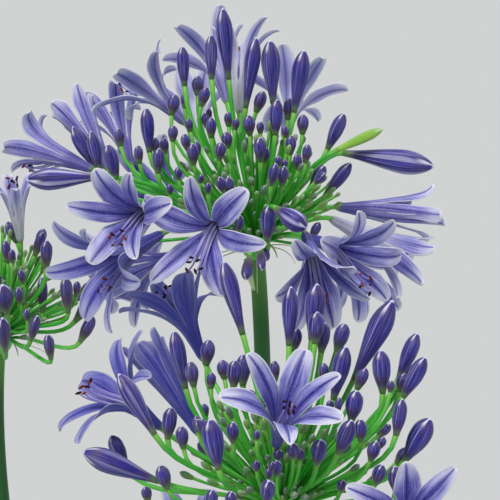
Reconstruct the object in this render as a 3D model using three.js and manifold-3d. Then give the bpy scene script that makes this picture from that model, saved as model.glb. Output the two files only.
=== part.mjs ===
// An agapanthus in a plain clay pot: fans of strap leaves, three scapes, and on the tip of each scape an
// umbel of funnel flowers and buds on green pedicels.
// Millimetres, +Z up, origin under the middle of the pot, +Y away from the side that is seen first.
import * as THREE from 'three';
import { mergeVertices } from 'three/addons/utils/BufferGeometryUtils.js';
import Module from 'manifold-3d';

const wasm = await Module();
wasm.setup();

// ---- driving dimensions ----

const seatGap = 0.3; // clearance between two pieces that touch

const pot = {
  height: 230, footRadius: 88, shoulderRadius: 116, rimRadius: 130, rimBand: 40,
  wall: 9, floor: 12, sides: 24, rimDraft: 4, drainRadius: 6, drainCircle: 48, drainHoles: 4,
};
const soil = { depthBelowRim: 28, dome: 6, gap: 0.6 };
const soilLevel = pot.height - soil.depthBelowRim;

// A scape stands straight for a share of its height, and its bow acts at a share below its tip.
const scape = {
  footRadius: 4.8, tipRadius: 3.8, knobRadius: 7, sides: 8, planted: 26, circle: 18,
  straight: 0.35, bowed: 0.3,
};
const shootCircle = 38; // the shoots stand on this circle round the middle of the pot

// Each shoot has a neck of leaf bases with leaves in two ranks. bearing is its place on the circle.
const shoots = [
  { name: 'leaf_fan_right', bearing: 30, seed: 11, leaves: 6 },
  { name: 'leaf_fan_front', bearing: -62, seed: 23, leaves: 6 },
  { name: 'leaf_fan_back', bearing: 128, seed: 37, leaves: 6 },
  { name: 'leaf_fan_left', bearing: 214, seed: 41, leaves: 6 },
];
const neck = { halfDepth: 10, halfWidth: 15, rise: 48, planted: 26, taper: 0.7, sides: 8 };
// rise is an outer leaf's first slope in degrees, and fall how far it turns down by its tip.
const leaf = {
  length: 430, shorter: 120, halfWidth: 15, thickness: 1.2, channel: 0.28, rise: 66, fall: 125,
  archPower: 1.35, rankAngle: 38, firstHeight: 14, spacing: 12, rows: 5, stepsInRow: 4,
};

// Heads are laid out in a frame that leans back: across is +X, up leans away from the viewer, and back is
// square to both and points away from the viewer.
const leanBack = THREE.MathUtils.degToRad(20);

const tube = { length: 13, footRadius: 1.5, mouthRadius: 3.7 };
const tepal = {
  length: 37, outerHalfWidth: 4.8, innerHalfWidth: 6.3, thickness: 0.9, rootDepth: 1.1, cup: 0.16,
  clear: 0.25, rise: 9, closed: 12, spread: 66, curl: 1.9, flatten: 1.1, steps: 24, stations: [7, 14, 20, 24],
};
// upright tilts the way a pedicel leaves; leaves and arrives are the shares of its reach that run straight,
// and where the pedicel turns sharply, arrives shrinks to no less than sharpest of itself.
const pedicel = {
  radius: 1.15, youngRadius: 0.95, thinAtStart: 0.55, upright: 0.3, leaves: 0.42, arrives: 0.34,
  sharpest: 0.3,
};
const youngBud = 12; // a bud shorter than this is a young one
const goldenAngle = 137.508;

// Open flowers. foot is [across, up, back] from the scape's tip, heading the direction of the flower's axis
// in the across-up plane, lean how far it turns to the viewer, turn the place of the first tepal, and open
// runs from 0 to 1. Some say more: curl is how late their tepals turn out, hook how far the tips turn back,
// long and slim stretch and narrow them, spreads is each tepal's own share of the usual turn, and bends how
// far each swings sideways.
const heads = [
  {
    name: 'upper', shoot: 0, tip: [40, 20, 850], bow: [16, 0],
    flowers: [
      { foot: [-15, 11, -60], heading: 213, lean: 68, turn: 70, open: 1, curl: 0.8,
        spreads: [0.74, 1.4, 0.95, 0.9, 0.98, 1.11], bends: [-6, -5, 0, 5, 7, 0] },
      { foot: [-46, 16, -54], heading: 193, lean: 66, turn: 46, open: 0.76, curl: 1.2,
        spreads: [0.75, 0.97, 0.77, 1.17, 0.67, 1.21], bends: [2, -2, -5, -2, 2, 7] },
      { foot: [-43, 6, -34], heading: 210, lean: 30, turn: 35, open: 0.89, curl: 1.4, long: 1.25,
        spreads: [1, 1, 0.87, 1, 0.82, 1.37], bends: [0, -1, 1, 0, 1, -1] },
      { foot: [-77, 36, -7], heading: 158, lean: -28, turn: 106, open: 0.92, curl: 3, long: 0.95,
        slim: 0.95, hook: 58, spreads: [0.9, 1.01, 0.91, 0.43, 1.19, 1.12], bends: [4, 7, -4, -6, -2, 2] },
      { foot: [-71, 37, 14], heading: 121, lean: -38, turn: 32, open: 0.15, curl: 1.9,
        spreads: [0.6, 0.3, 0.6, 0.6, 0.3, 0.8], bends: [1, 1, 3, 0, -2, -2] },
      { foot: [-62, 40, 52], heading: 108, lean: -35, turn: 13, open: 0.9, curl: 1.2, slim: 0.85, hook: 90,
        spreads: [1.3, 0.3, 0.4, 0.5, 0.9, 0.3], bends: [0, 4, 3, -4, 0, -1] },
      { foot: [-34, 59, 15], heading: 134, lean: -17, turn: 36, open: 1, curl: 0.95, slim: 0.8,
        spreads: [1.5, 0.51, 1.08, 1.17, 0.93, 1.1], bends: [-5, 5, -4, 0, -1, 5] },
      { foot: [-28, 50, 56], heading: 100, lean: -50, turn: 44, open: 0.35, curl: 1.6 },
      { foot: [-14, 70, 36], heading: 103, lean: -34, turn: 89, open: 0.9, curl: 0.87, long: 1.05,
        slim: 0.94, hook: 18, spreads: [0.25, 0.36, 0.46, 0.82, 1.37, 0.63], bends: [6, 4, -7, -5, 2, -4] },
      { foot: [-8, 64, 15], heading: 92, lean: -21, turn: 30, open: 0.93, curl: 2.1, slim: 0.62,
        spreads: [0.94, 0.97, 0.61, 0.39, 0.15, 1.4], bends: [5, -5, 6, -3, -7, 6] },
      { foot: [14, 53, 34], heading: 77, lean: -36, turn: 24, open: 1, curl: 0.88, slim: 0.85,
        spreads: [1.28, 0.75, 0.94, 1.4, 1, 0.75], bends: [-4, 2, 3, -3, 0, 4] },
      { foot: [39, 19, 22], heading: 356, lean: -24, turn: 42, open: 0.3, curl: 3, long: 1.1, hook: 50,
        spreads: [0.35, 0.3, 0.4, 1.1, 0.4, 0.75], bends: [-6, -3, 5, -4, -4, 5] },
      { foot: [25, 4, -32], heading: 336, lean: 44, turn: 74, open: 1, curl: 1.2,
        spreads: [1, 0.79, 1.39, 0.62, 0.96, 1.17], bends: [0, 7, 3, 5, 1, -7] },
      { foot: [22, 6, -54], heading: 288, lean: 48, turn: 8, open: 0.83, curl: 1,
        spreads: [1.23, 0.74, 0.7, 0.95, 0.45, 0.5], bends: [2, 2, 0, -5, 0, 0] },
      { foot: [35, 13, -8], heading: 334, lean: -19, turn: 19, open: 0.56, curl: 1.8, long: 1.1,
        spreads: [0.91, 0.97, 0.8, 1.16, 0.35, 0.4], bends: [2, -1, 0, -1, 0, 0] },
      { foot: [-34, 20, 66], heading: 150, lean: -50, turn: 12, open: 0.9 },
      { foot: [-40, -4, 64], heading: 200, lean: -45, turn: 45, open: 0.9 },
      { foot: [36, -2, 60], heading: 335, lean: -45, turn: 20, open: 0.9 },
    ],
    buds: [
      { foot: [41, 44, -8], heading: 352, lean: 10, length: 44, radius: 6 },
      { foot: [-73, 32, -28], heading: 183, lean: 10, length: 34, radius: 5.3 },
      { foot: [-13, 79, -4], heading: 95, lean: 8, length: 34, radius: 4.3 },
      { foot: [-21, 79, -6], heading: 91, lean: 8, length: 21, radius: 3.1 },
      { foot: [-34, 76, -2], heading: 93, lean: 8, length: 19, radius: 3.1 },
      { foot: [-5, 65, -12], heading: 81, lean: 10, length: 34, radius: 3.9 },
      { foot: [8, 67, -14], heading: 93, lean: 10, length: 30, radius: 4.7 },
      { foot: [18, 63, -10], heading: 81, lean: 8, length: 30, radius: 4.4 },
      { foot: [-50, 44, -18], heading: 94, lean: 8, length: 21, radius: 3.3 },
      { foot: [-65, 31, -26], heading: 104, lean: 8, length: 17, radius: 3.5 },
      { foot: [-76, 37, 2], heading: 121, lean: 2, length: 23, radius: 3.8 },
      { foot: [34, 46, 0], heading: 65, lean: 6, length: 19, radius: 3.4 },
      { foot: [33, 24, 0], heading: 51, lean: 6, length: 20, radius: 3.2 },
      { foot: [5, 2, -50], heading: 87, lean: 12, length: 17, radius: 3.7 },
      { foot: [9, 17, -60], heading: 324, lean: 22, length: 18, radius: 4.8 },
      { foot: [38, 45, -16], heading: 25, lean: 8, length: 24, radius: 2.4 },
      { foot: [-40, 62, -8], heading: 79, lean: 4, length: 10, radius: 3.1 },
      { foot: [-28, 72, 4], heading: 87, lean: -2, length: 9.5, radius: 3 },
      { foot: [-26, 66, -12], heading: 72, lean: 6, length: 9.5, radius: 2.8 },
      { foot: [-39, 49, -24], heading: 86, lean: 12, length: 7.5, radius: 2.5 },
      { foot: [-21, 51, -18], heading: 90, lean: 10, length: 9.5, radius: 2.6 },
      { foot: [-13, 57, 0], heading: 90, lean: 0, length: 7, radius: 2.3 },
      { foot: [-3, 52, -20], heading: 93, lean: 12, length: 9.5, radius: 3.1 },
      { foot: [0, 64, 6], heading: 69, lean: -2, length: 11, radius: 3 },
      { foot: [9, 52, -18], heading: 87, lean: 10, length: 17, radius: 3.3 },
      { foot: [15, 60, -4], heading: 85, lean: 2, length: 10.5, radius: 2.6 },
      { foot: [22, 53, -6], heading: 87, lean: 4, length: 9.5, radius: 2.9 },
      { foot: [-17, 40, -36], heading: 83, lean: 22, length: 8.5, radius: 2.8 },
      { foot: [-13, 46, -26], heading: 98, lean: 16, length: 7.5, radius: 2.7 },
      { foot: [2, 39, -34], heading: 92, lean: 22, length: 12, radius: 3 },
      { foot: [16, 43, -22], heading: 87, lean: 14, length: 9, radius: 2.7 },
      { foot: [23, 39, -22], heading: 81, lean: 14, length: 9, radius: 2.3 },
      { foot: [7, 28, -42], heading: 79, lean: 30, length: 11.5, radius: 2.6 },
      { foot: [-29, 38, -30], heading: 93, lean: 18, length: 10, radius: 2.9 },
      { foot: [-46, 34, -22], heading: 86, lean: 12, length: 12, radius: 2.8 },
      { foot: [-55, 39, -14], heading: 93, lean: 6, length: 8.5, radius: 2.3 },
      { foot: [-12, 24, -46], heading: 97, lean: 32, length: 9, radius: 2.6 },
      { foot: [-65, 48, 10], heading: 96, lean: -4, length: 8.5, radius: 2.6 },
      { foot: [26, 28, -12], heading: 56, lean: 10, length: 12, radius: 2.9 },
      { foot: [-3, -5, -46], heading: 260, lean: 46, length: 15, radius: 2.7 },
      { foot: [-74, 36, -6], heading: 103, lean: 6, length: 19, radius: 3.2 },
      { foot: [-32, 45, -28], heading: 101, lean: 14, length: 7.5, radius: 2.4 },
      { foot: [2, -2, -42], heading: 273, lean: 48, length: 14, radius: 2.2 },
      { foot: [12, 28, -38], heading: 84, lean: 28, length: 10, radius: 2.5 },
      { foot: [26, 4, -16], heading: 62, lean: 18, length: 8.5, radius: 2.3 },
      { foot: [-8, 7, -40], heading: 86, lean: 42, length: 9.5, radius: 2.3 },
    ],
    spiral: { count: 20, reach: [44, 62], length: [6.5, 10.5], from: 82, to: -6, seed: 5 },
  },
  {
    name: 'lower', shoot: 1, tip: [51, -117, 775], bow: [0, -8],
    flowers: [
      { foot: [-3, 33, -44], heading: 80, lean: 51, turn: 116, open: 0.88, curl: 1.27,
        spreads: [0.72, 0.99, 0.73, 1.21, 0.95, 0.97], bends: [0, -3, 0, -7, 6, 6] },
      { foot: [-52, 38, -5], heading: 139, lean: 15, turn: 18, open: 1, curl: 0.87,
        spreads: [1.32, 0.87, 1.05, 0.96, 1.15, 1.22], bends: [6, 1, 6, 0, -5, -7] },
      { foot: [-35, 65, 56], heading: 114, lean: -9, turn: 81, open: 0.8, curl: 0.8,
        spreads: [0.6, 1.42, 0.59, 1, 0.96, 1.03], bends: [0, 3, 0, 0, -3, -1] },
      { foot: [-36, 34, 12], heading: 122, lean: -10, turn: 58, open: 0.1, curl: 2, hook: 10,
        spreads: [0.85, 0.76, 1, 0.82, 0.77, 1], bends: [-5, 5, 0, -5, 3, -1] },
      { foot: [50, 2, -32], heading: 67, lean: 80, turn: 35, open: 0.84, curl: 1.1,
        spreads: [1, 1, 0.88, 0.65, 1.24, 1], bends: [0, 0, 2, -1, -2, 0] },
      { foot: [-46, -26, -40], heading: 225, lean: 30, turn: 15, open: 0.9 },
      { foot: [6, -30, -52], heading: 268, lean: 40, turn: 40, open: 0.95 },
      { foot: [-20, -16, 64], heading: 190, lean: -45, turn: 20, open: 0.9 },
      { foot: [30, -18, 60], heading: 340, lean: -40, turn: 5, open: 0.9 },
    ],
    buds: [
      { foot: [-54, 38, -38], heading: 120, lean: 8, length: 30, radius: 4.2 },
      { foot: [-53, 17, -24], heading: 158, lean: 10, length: 35, radius: 5.2 },
      { foot: [-42, 55, 2], heading: 101, lean: 6, length: 26, radius: 3.6 },
      { foot: [-33, 65, 8], heading: 83, lean: 6, length: 11.5, radius: 3.3 },
      { foot: [-17, 79, -10], heading: 105, lean: 6, length: 33, radius: 4.1 },
      { foot: [3, 74, -6], heading: 88, lean: 6, length: 26, radius: 3.7 },
      { foot: [13, 76, 4], heading: 84, lean: 2, length: 25, radius: 4.7 },
      { foot: [22, 51, -12], heading: 77, lean: 6, length: 24, radius: 4.1 },
      { foot: [31, 59, -4], heading: 64, lean: 6, length: 39, radius: 5.4 },
      { foot: [43, 54, -18], heading: 93, lean: 8, length: 19, radius: 4 },
      { foot: [51, 60, 0], heading: 67, lean: 4, length: 21, radius: 3.5 },
      { foot: [52, 52, -12], heading: 61, lean: 6, length: 20, radius: 3.6 },
      { foot: [48, 37, -30], heading: 81, lean: 8, length: 16, radius: 3.1 },
      { foot: [52, 25, -20], heading: 59, lean: 8, length: 22, radius: 4.8 },
      { foot: [-27, 24, -46], heading: 100, lean: 10, length: 22, radius: 4.6 },
      { foot: [23, 30, -42], heading: 68, lean: 12, length: 16, radius: 3.6 },
      { foot: [5, 71, 8], heading: 78, lean: -4, length: 10.5, radius: 2.9 },
      { foot: [14, 75, -10], heading: 85, lean: 4, length: 14, radius: 3.7 },
      { foot: [17, 71, -4], heading: 82, lean: 2, length: 13, radius: 3 },
      { foot: [24, 71, 6], heading: 72, lean: -2, length: 13, radius: 3.4 },
      { foot: [32, 56, -18], heading: 67, lean: 8, length: 10, radius: 2.7 },
      { foot: [51, 54, -6], heading: 75, lean: 2, length: 8.5, radius: 2.9 },
      { foot: [29, 43, -30], heading: 81, lean: 16, length: 14, radius: 3.8 },
      { foot: [33, 35, -34], heading: 93, lean: 20, length: 10, radius: 2.9 },
      { foot: [37, 27, -36], heading: 75, lean: 20, length: 9, radius: 2.9 },
      { foot: [49, 24, -16], heading: 53, lean: 10, length: 8.5, radius: 2.7 },
      { foot: [39, 17, -36], heading: 73, lean: 22, length: 9.5, radius: 3 },
      { foot: [48, 13, -30], heading: 94, lean: 18, length: 12, radius: 3.2 },
      { foot: [-7, 11, -52], heading: 85, lean: 42, length: 13, radius: 3.2 },
      { foot: [4, 29, -50], heading: 90, lean: 32, length: 8, radius: 2.7 },
      { foot: [14, 26, -46], heading: 82, lean: 32, length: 13, radius: 3.3 },
      { foot: [-25, 59, 6], heading: 96, lean: -2, length: 8.5, radius: 3 },
      { foot: [-21, 56, -8], heading: 86, lean: 4, length: 12, radius: 3.4 },
      { foot: [-17, 56, 4], heading: 88, lean: -2, length: 14, radius: 3.4 },
      { foot: [-3, 58, 8], heading: 90, lean: -4, length: 9, radius: 2.4 },
      { foot: [-21, 35, -40], heading: 90, lean: 24, length: 9.5, radius: 2.8 },
      { foot: [-38, 57, -16], heading: 97, lean: 8, length: 11, radius: 3 },
      { foot: [-49, 14, -26], heading: 106, lean: 14, length: 11, radius: 3.3 },
      { foot: [-42, 32, -34], heading: 95, lean: 18, length: 10, radius: 2.9 },
      { foot: [-49, 35, -22], heading: 83, lean: 12, length: 14, radius: 3.2 },
      { foot: [-3, 22, -50], heading: 90, lean: 36, length: 8, radius: 2.7 },
      { foot: [-68, 21, 4], heading: 116, lean: -2, length: 15, radius: 3.4 },
      { foot: [18, 59, -10], heading: 90, lean: 6, length: 8, radius: 2.4 },
      { foot: [-22, 7, -42], heading: 87, lean: 34, length: 9.5, radius: 2.7 },
      { foot: [-30, 8, -44], heading: 87, lean: 30, length: 9, radius: 2.8 },
    ],
    spiral: { count: 18, reach: [44, 64], length: [7, 11], from: 80, to: -4, seed: 9 },
  },
  {
    name: 'left', shoot: 2, tip: [-90, 75, 779], bow: [-20, 6],
    flowers: [
      { foot: [12, 50, -12], heading: 95, lean: 24, turn: 10, open: 0.2, curl: 1.2, long: 0.62, slim: 0.62,
        hook: 95 },
      { foot: [-48, 30, -18], heading: 160, lean: 20, turn: 30, open: 0.9 },
      { foot: [-20, -8, -52], heading: 230, lean: 40, turn: 5, open: 0.95 },
      { foot: [-30, 34, 44], heading: 130, lean: -40, turn: 40, open: 0.9 },
      { foot: [34, 20, 44], heading: 30, lean: -44, turn: 20, open: 0.85 },
    ],
    buds: [
      { foot: [24, 15, -20], heading: 90, lean: 20, length: 19, radius: 2.7 },
      { foot: [27, 37, -36], heading: 88, lean: 22, length: 15, radius: 3 },
      { foot: [42, 0, -14], heading: 61, lean: 10, length: 15, radius: 3.1 },
      { foot: [19, 43, -10], heading: 70, lean: 6, length: 13, radius: 2.6 },
      { foot: [20, 2, -44], heading: 72, lean: 36, length: 16, radius: 2.7 },
      { foot: [8, -4, -48], heading: 90, lean: 44, length: 24, radius: 3.6 },
      { foot: [39, 10, -8], heading: 51, lean: 6, length: 18, radius: 3.6 },
      { foot: [30, -7, -46], heading: 95, lean: 30, length: 14, radius: 2.7 },
      { foot: [37, 15, -26], heading: 93, lean: 18, length: 19, radius: 3.2 },
      { foot: [8, 15, -40], heading: 96, lean: 38, length: 18, radius: 4.6 },
      { foot: [10, 50, -10], heading: 115, lean: 6, length: 11.5, radius: 3 },
      { foot: [7, 40, -26], heading: 95, lean: 18, length: 11.5, radius: 2.4 },
      { foot: [15, 20, -44], heading: 97, lean: 34, length: 9.5, radius: 2.2 },
    ],
    spiral: { count: 16, reach: [44, 60], length: [7, 11], from: 80, to: -4, seed: 13 },
  },
];
const rayClearance = 9.5; // degrees a spiral bud keeps from a flower's or a large bud's pedicel
const flowerRoom = 19; // and the distance its tip keeps from the middle line of a flower

// ---- shared helpers ----

const degrees = THREE.MathUtils.degToRad;
const vector = (x, y, z) => new THREE.Vector3(x, y, z);

// [across, up, back] in the leaning frame, turned into the part's own axes.
function leaning(across, up, back) {
  const y = up * Math.sin(leanBack) + back * Math.cos(leanBack);
  const z = up * Math.cos(leanBack) - back * Math.sin(leanBack);
  return vector(across, y, z);
}

function aim(heading, lean) {
  const flat = Math.cos(degrees(lean));
  const across = flat * Math.cos(degrees(heading));
  const up = flat * Math.sin(degrees(heading));
  return leaning(across, up, -Math.sin(degrees(lean)));
}

function randomFrom(seed) {
  let state = seed;
  return () => {
    state = (state * 48271) % 2147483647;
    return state / 2147483647;
  };
}

function ring(centre, first, second, radius, sides) {
  return Array.from({ length: sides }, (_, k) => {
    const angle = (k / sides) * Math.PI * 2;
    return centre.clone()
      .addScaledVector(first, radius * Math.cos(angle))
      .addScaledVector(second, radius * Math.sin(angle));
  });
}

// Triangles between two rings that run counterclockwise about the way from low to high. The high ring may
// be a tip, or have twice the points. The diagonals mirror each other, so both faces of a thin blade split
// alike.
function band(low, high) {
  const triangles = [];
  low.forEach((point, k) => {
    const next = low[(k + 1) % low.length];
    if (high.length === 1) {
      triangles.push(point, next, high[0]);
    } else if (high.length === 2 * low.length) {
      const between = high[2 * k + 1];
      triangles.push(point, between, high[2 * k]);
      triangles.push(point, next, between);
      triangles.push(next, high[(2 * k + 2) % high.length], between);
    } else if (k % 2 === 0) {
      triangles.push(point, next, high[(k + 1) % high.length]);
      triangles.push(point, high[(k + 1) % high.length], high[k]);
    } else {
      triangles.push(point, next, high[k]);
      triangles.push(next, high[(k + 1) % high.length], high[k]);
    }
  });
  return triangles;
}

function bands(rings) {
  return rings.slice(1).flatMap((high, row) => band(rings[row], high));
}

function startCap(points) {
  return points.slice(2).flatMap((point, k) => [points[0], point, points[k + 1]]);
}

function endCap(points) {
  return points.slice(2).flatMap((point, k) => [points[0], points[k + 1], point]);
}

function skin(rings) {
  return [...startCap(rings[0]), ...bands(rings), ...endCap(rings[rings.length - 1])];
}

function toSolid(geometry) {
  const bare = new THREE.BufferGeometry().setAttribute('position', geometry.getAttribute('position'));
  bare.setIndex(geometry.getIndex());
  const merged = mergeVertices(bare, 1e-4);
  const index = Array.from(merged.getIndex().array);
  const kept = [];
  for (let i = 0; i < index.length; i += 3) {
    const [a, b, c] = index.slice(i, i + 3);
    if (a !== b && b !== c && c !== a) kept.push(a, b, c);
  }
  const mesh = new wasm.Mesh({
    numProp: 3,
    vertProperties: merged.getAttribute('position').array,
    triVerts: new Uint32Array(kept),
  });
  return new wasm.Manifold(mesh);
}

const closed = (triangles) => toSolid(new THREE.BufferGeometry().setFromPoints(triangles));

const joined = (solids) => solids.reduce((whole, piece) => whole.add(piece));

function toMesh(name, solid, material) {
  const made = solid.getMesh();
  const geometry = new THREE.BufferGeometry();
  geometry.setAttribute('position', new THREE.BufferAttribute(made.vertProperties, 3));
  geometry.setIndex(new THREE.BufferAttribute(made.triVerts, 1));
  geometry.computeVertexNormals();
  const mesh = new THREE.Mesh(geometry, material);
  mesh.name = name;
  return mesh;
}

// Two directions square to an axis; the first is its side nearest the viewer.
function sidesOf(axis) {
  const near = leaning(0, 0, -1);
  near.addScaledVector(axis, -near.dot(axis)).normalize();
  return [near, axis.clone().cross(near)];
}

// Rings carried along a path without twist. Each station is { centre, tangent, radius, sides }.
function carried(stations) {
  const side = stations[0].tangent.x > 0.9 ? vector(0, 1, 0) : vector(1, 0, 0);
  return stations.map(({ centre, tangent, radius, sides }) => {
    side.addScaledVector(tangent, -side.dot(tangent)).normalize();
    if (radius === 0) return [centre];
    return ring(centre, side, tangent.clone().cross(side), radius, sides);
  });
}

function alongCurve(curve, radii, sides) {
  return radii.map((radius, row) => {
    const share = row / (radii.length - 1);
    return { centre: curve.getPoint(share), tangent: curve.getTangent(share), radius, sides };
  });
}

// ---- umbels ----

// A pedicel leaves the scape's tip a little upright, and arrives in line with what it carries.
function pedicelStations(tip, foot, axis, thick, rows) {
  const reach = foot.distanceTo(tip);
  const away = foot.clone().sub(tip).normalize();
  away.addScaledVector(vector(0, 0, 1), pedicel.upright).normalize();
  const start = tip.clone().addScaledVector(away, 0.75 * scape.knobRadius);
  const leaves = tip.clone().addScaledVector(away, pedicel.leaves * reach);
  const inLine = Math.max(pedicel.sharpest, away.dot(axis));
  const arrives = foot.clone().addScaledVector(axis, -pedicel.arrives * inLine * reach);
  const curve = new THREE.CubicBezierCurve3(start, leaves, arrives, foot.clone());
  const radii = Array.from({ length: rows + 1 }, (_, row) => {
    return thick * THREE.MathUtils.lerp(pedicel.thinAtStart, 1, Math.sqrt(row / rows));
  });
  return alongCurve(curve, radii, 3);
}

// A club-shaped bud in one skin with its pedicel.
function budOnPedicel(tip, { foot, axis, length, radius }) {
  const young = length < youngBud;
  const thick = young ? pedicel.youngRadius : pedicel.radius;
  const stations = pedicelStations(tip, foot, axis, thick, young ? 2 : 3);
  const profile = young ? [[0.6, 1], [1, 0]] : [[0.36, 0.78], [0.7, 1], [1, 0]];
  for (const [along, swell] of profile) {
    const centre = foot.clone().addScaledVector(axis, along * length);
    stations.push({ centre, tangent: axis, radius: swell * radius, sides: 6 });
  }
  return closed(skin(carried(stations)));
}

// Midline of a tepal in steps from its root on the tube to its tip. It leaves nearly in line with the tube,
// turns outwards by spread, late in a bell and early in a wide open flower, and its tip hooks back.
function tepalLine(spread, curl, hook, length) {
  const rows = [{ out: 0, along: 0, angle: degrees(tepal.rise) }];
  const step = length / tepal.steps;
  for (let i = 1; i <= tepal.steps; i += 1) {
    const t = i / tepal.steps;
    const late = Math.max(0, (t - 0.75) / 0.25);
    const angle = degrees(tepal.rise + spread * t ** curl + hook * late * late);
    const before = rows[i - 1];
    const middle = (before.angle + angle) / 2;
    const out = before.out + step * Math.sin(middle);
    const along = before.along + step * Math.cos(middle);
    rows.push({ out, along, angle });
  }
  return rows;
}

// Half the width at t: narrow at the root, widest past the middle, with a blunt tip.
function tepalHalfWidth(t, widest) {
  const rise = Math.min(1, t / 0.58);
  const shoulder = 0.3 + 0.7 * rise * rise * (3 - 2 * rise);
  return widest * shoulder * Math.sqrt(Math.max(0, 1 - t ** 6));
}

// Six tepals on a solid tube, in one skin. Neighbouring tepals share a point of the tube's mouth.
function flower(foot, axis, spec, seed) {
  const random = randomFrom(seed);
  const [first, second] = sidesOf(axis);
  const outwards = (angle) => {
    return first.clone().multiplyScalar(Math.cos(angle)).addScaledVector(second, Math.sin(angle));
  };
  const place = (out, angle, along) => {
    return foot.clone().addScaledVector(axis, seatGap + along).addScaledVector(outwards(angle), out);
  };
  const turns = [0, 1, 2, 3, 4, 5].map((k) => degrees(spec.turn + 60 * k));
  const halfTurn = Math.PI / 6;
  const footRing = turns.map((turn) => place(tube.footRadius, turn, 0));
  const backs = turns.map((turn) => place(tube.mouthRadius, turn, tube.length));
  const notches = turns.map((turn) => place(tube.mouthRadius, turn + halfTurn, tube.length));
  const throats = turns.map((turn) => place(tube.mouthRadius - tepal.rootDepth, turn, tube.length + 0.3));
  const mouth = backs.flatMap((back, k) => [back, notches[k]]);
  const bottom = place(0, 0, tube.length - 1);
  const curl = spec.curl ?? tepal.curl - tepal.flatten * spec.open;
  const usual = tepal.closed + tepal.spread * spec.open;
  const length = tepal.length * (spec.long ?? 1);
  const triangles = [...startCap(footRing), ...band(footRing, mouth)];
  turns.forEach((turn, k) => {
    const ownShare = 0.9 + 0.2 * random();
    const ownBend = 5 * (random() - 0.5);
    const ownHook = 12 + 16 * random();
    const spread = usual * (spec.spreads?.[k] ?? ownShare);
    const bend = spec.bends?.[k] ?? ownBend;
    const hook = spec.hook ?? ownHook;
    const inner = k % 2 === 1;
    const out = outwards(turn);
    const side = axis.clone().cross(out);
    const rows = tepalLine(spread, curl, hook, length * (inner ? 0.97 : 1.03));
    const rings = [[notches[k], throats[k], notches[(k + 5) % 6], backs[k]]];
    for (const step of tepal.stations) {
      const row = rows[step];
      const share = step / tepal.steps;
      const centre = place(tube.mouthRadius - 0.5 * tepal.rootDepth + row.out, turn, tube.length + row.along)
        .addScaledVector(side, bend * share * share);
      if (share === 1) {
        rings.push([centre]);
        continue;
      }
      const normal = axis.clone().multiplyScalar(Math.sin(row.angle));
      normal.addScaledVector(out, -Math.cos(row.angle));
      const roomy = (tube.mouthRadius + row.out) * Math.tan(halfTurn) - tepal.clear;
      const widest = (inner ? tepal.innerHalfWidth : tepal.outerHalfWidth) * (spec.slim ?? 1);
      const half = Math.min(tepalHalfWidth(share, widest), roomy - 0.5 * Math.abs(bend) * share * share);
      const cup = half * tepal.cup;
      rings.push([
        centre.clone().addScaledVector(side, half).addScaledVector(normal, cup),
        centre.clone().addScaledVector(normal, tepal.thickness / 2),
        centre.clone().addScaledVector(side, -half).addScaledVector(normal, cup),
        centre.clone().addScaledVector(normal, -tepal.thickness / 2),
      ]);
    }
    triangles.push(...bands(rings));
    triangles.push(bottom, throats[k], throats[(k + 1) % 6]);
    triangles.push(throats[k], notches[k], throats[(k + 1) % 6]);
  });
  return closed(triangles);
}

// Small buds stand on a golden-angle spiral, youngest and shortest in the middle. One that would come near
// a flower, or the pedicel of a flower or a large bud, is left out.
function spiralBuds(head, tip, flowers, large) {
  const { count, reach, length, from, to, seed } = head.spiral;
  const random = randomFrom(seed);
  const rays = [...flowers, ...large].map((one) => one.foot.clone().sub(tip));
  const bells = flowers.map((one) => {
    return new THREE.Line3(one.foot, one.foot.clone().addScaledVector(one.axis, tube.length + tepal.length));
  });
  const nearest = vector(0, 0, 0);
  const buds = [];
  for (let i = 0; i < count; i += 1) {
    const share = (i + 0.5) / count;
    const elevation = degrees(from + (to - from) * share ** 0.75 + 6 * (random() - 0.5));
    const bearing = degrees(i * goldenAngle + 10 * (random() - 0.5));
    const far = reach[0] + (reach[1] - reach[0]) * (0.35 * share + 0.65 * random());
    const size = length[0] + (length[1] - length[0]) * random();
    const flat = Math.cos(elevation);
    const axis = vector(flat * Math.cos(bearing), flat * Math.sin(bearing), Math.sin(elevation));
    const foot = axis.clone().multiplyScalar(far).add(tip);
    const end = foot.clone().addScaledVector(axis, size);
    const free = rays.every((ray) => THREE.MathUtils.radToDeg(ray.angleTo(axis)) > rayClearance)
      && bells.every((bell) => bell.closestPointToPoint(end, true, nearest).distanceTo(end) > flowerRoom);
    if (free) buds.push({ foot, axis, length: size, radius: 0.24 * size + 0.5 });
  }
  return buds;
}

function onCircle(bearing, radius, z) {
  return vector(radius * Math.cos(degrees(bearing)), radius * Math.sin(degrees(bearing)), z);
}

// A scape rises beside its shoot, on the side of the pot's middle.
function scapeSolid(head, extra) {
  const foot = onCircle(shoots[head.shoot].bearing, scape.circle, soilLevel);
  const tip = vector(...head.tip);
  const height = tip.z - foot.z;
  const start = foot.clone().setZ(foot.z - scape.planted);
  const lower = foot.clone().setZ(foot.z + scape.straight * height);
  const upper = tip.clone().add(vector(head.bow[0], head.bow[1], -scape.bowed * height));
  const curve = new THREE.CubicBezierCurve3(start, lower, upper, tip);
  const radii = [0, 0.2, 0.4, 0.6, 0.8, 1].map((share) => {
    return extra + THREE.MathUtils.lerp(scape.footRadius, scape.tipRadius, share);
  });
  return closed(skin(carried(alongCurve(curve, radii, scape.sides))));
}

const hue = {
  clay: new THREE.MeshStandardMaterial({ color: 0xb0623f, roughness: 0.85, metalness: 0 }),
  soil: new THREE.MeshStandardMaterial({ color: 0x3a2a1e, roughness: 1, metalness: 0 }),
  leaf: new THREE.MeshStandardMaterial({ color: 0x2f6b2c, roughness: 0.5, metalness: 0 }),
  stalk: new THREE.MeshStandardMaterial({ color: 0x4f9a35, roughness: 0.5, metalness: 0 }),
  petal: new THREE.MeshStandardMaterial({ color: 0x7a78c8, roughness: 0.55, metalness: 0 }),
};

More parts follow.
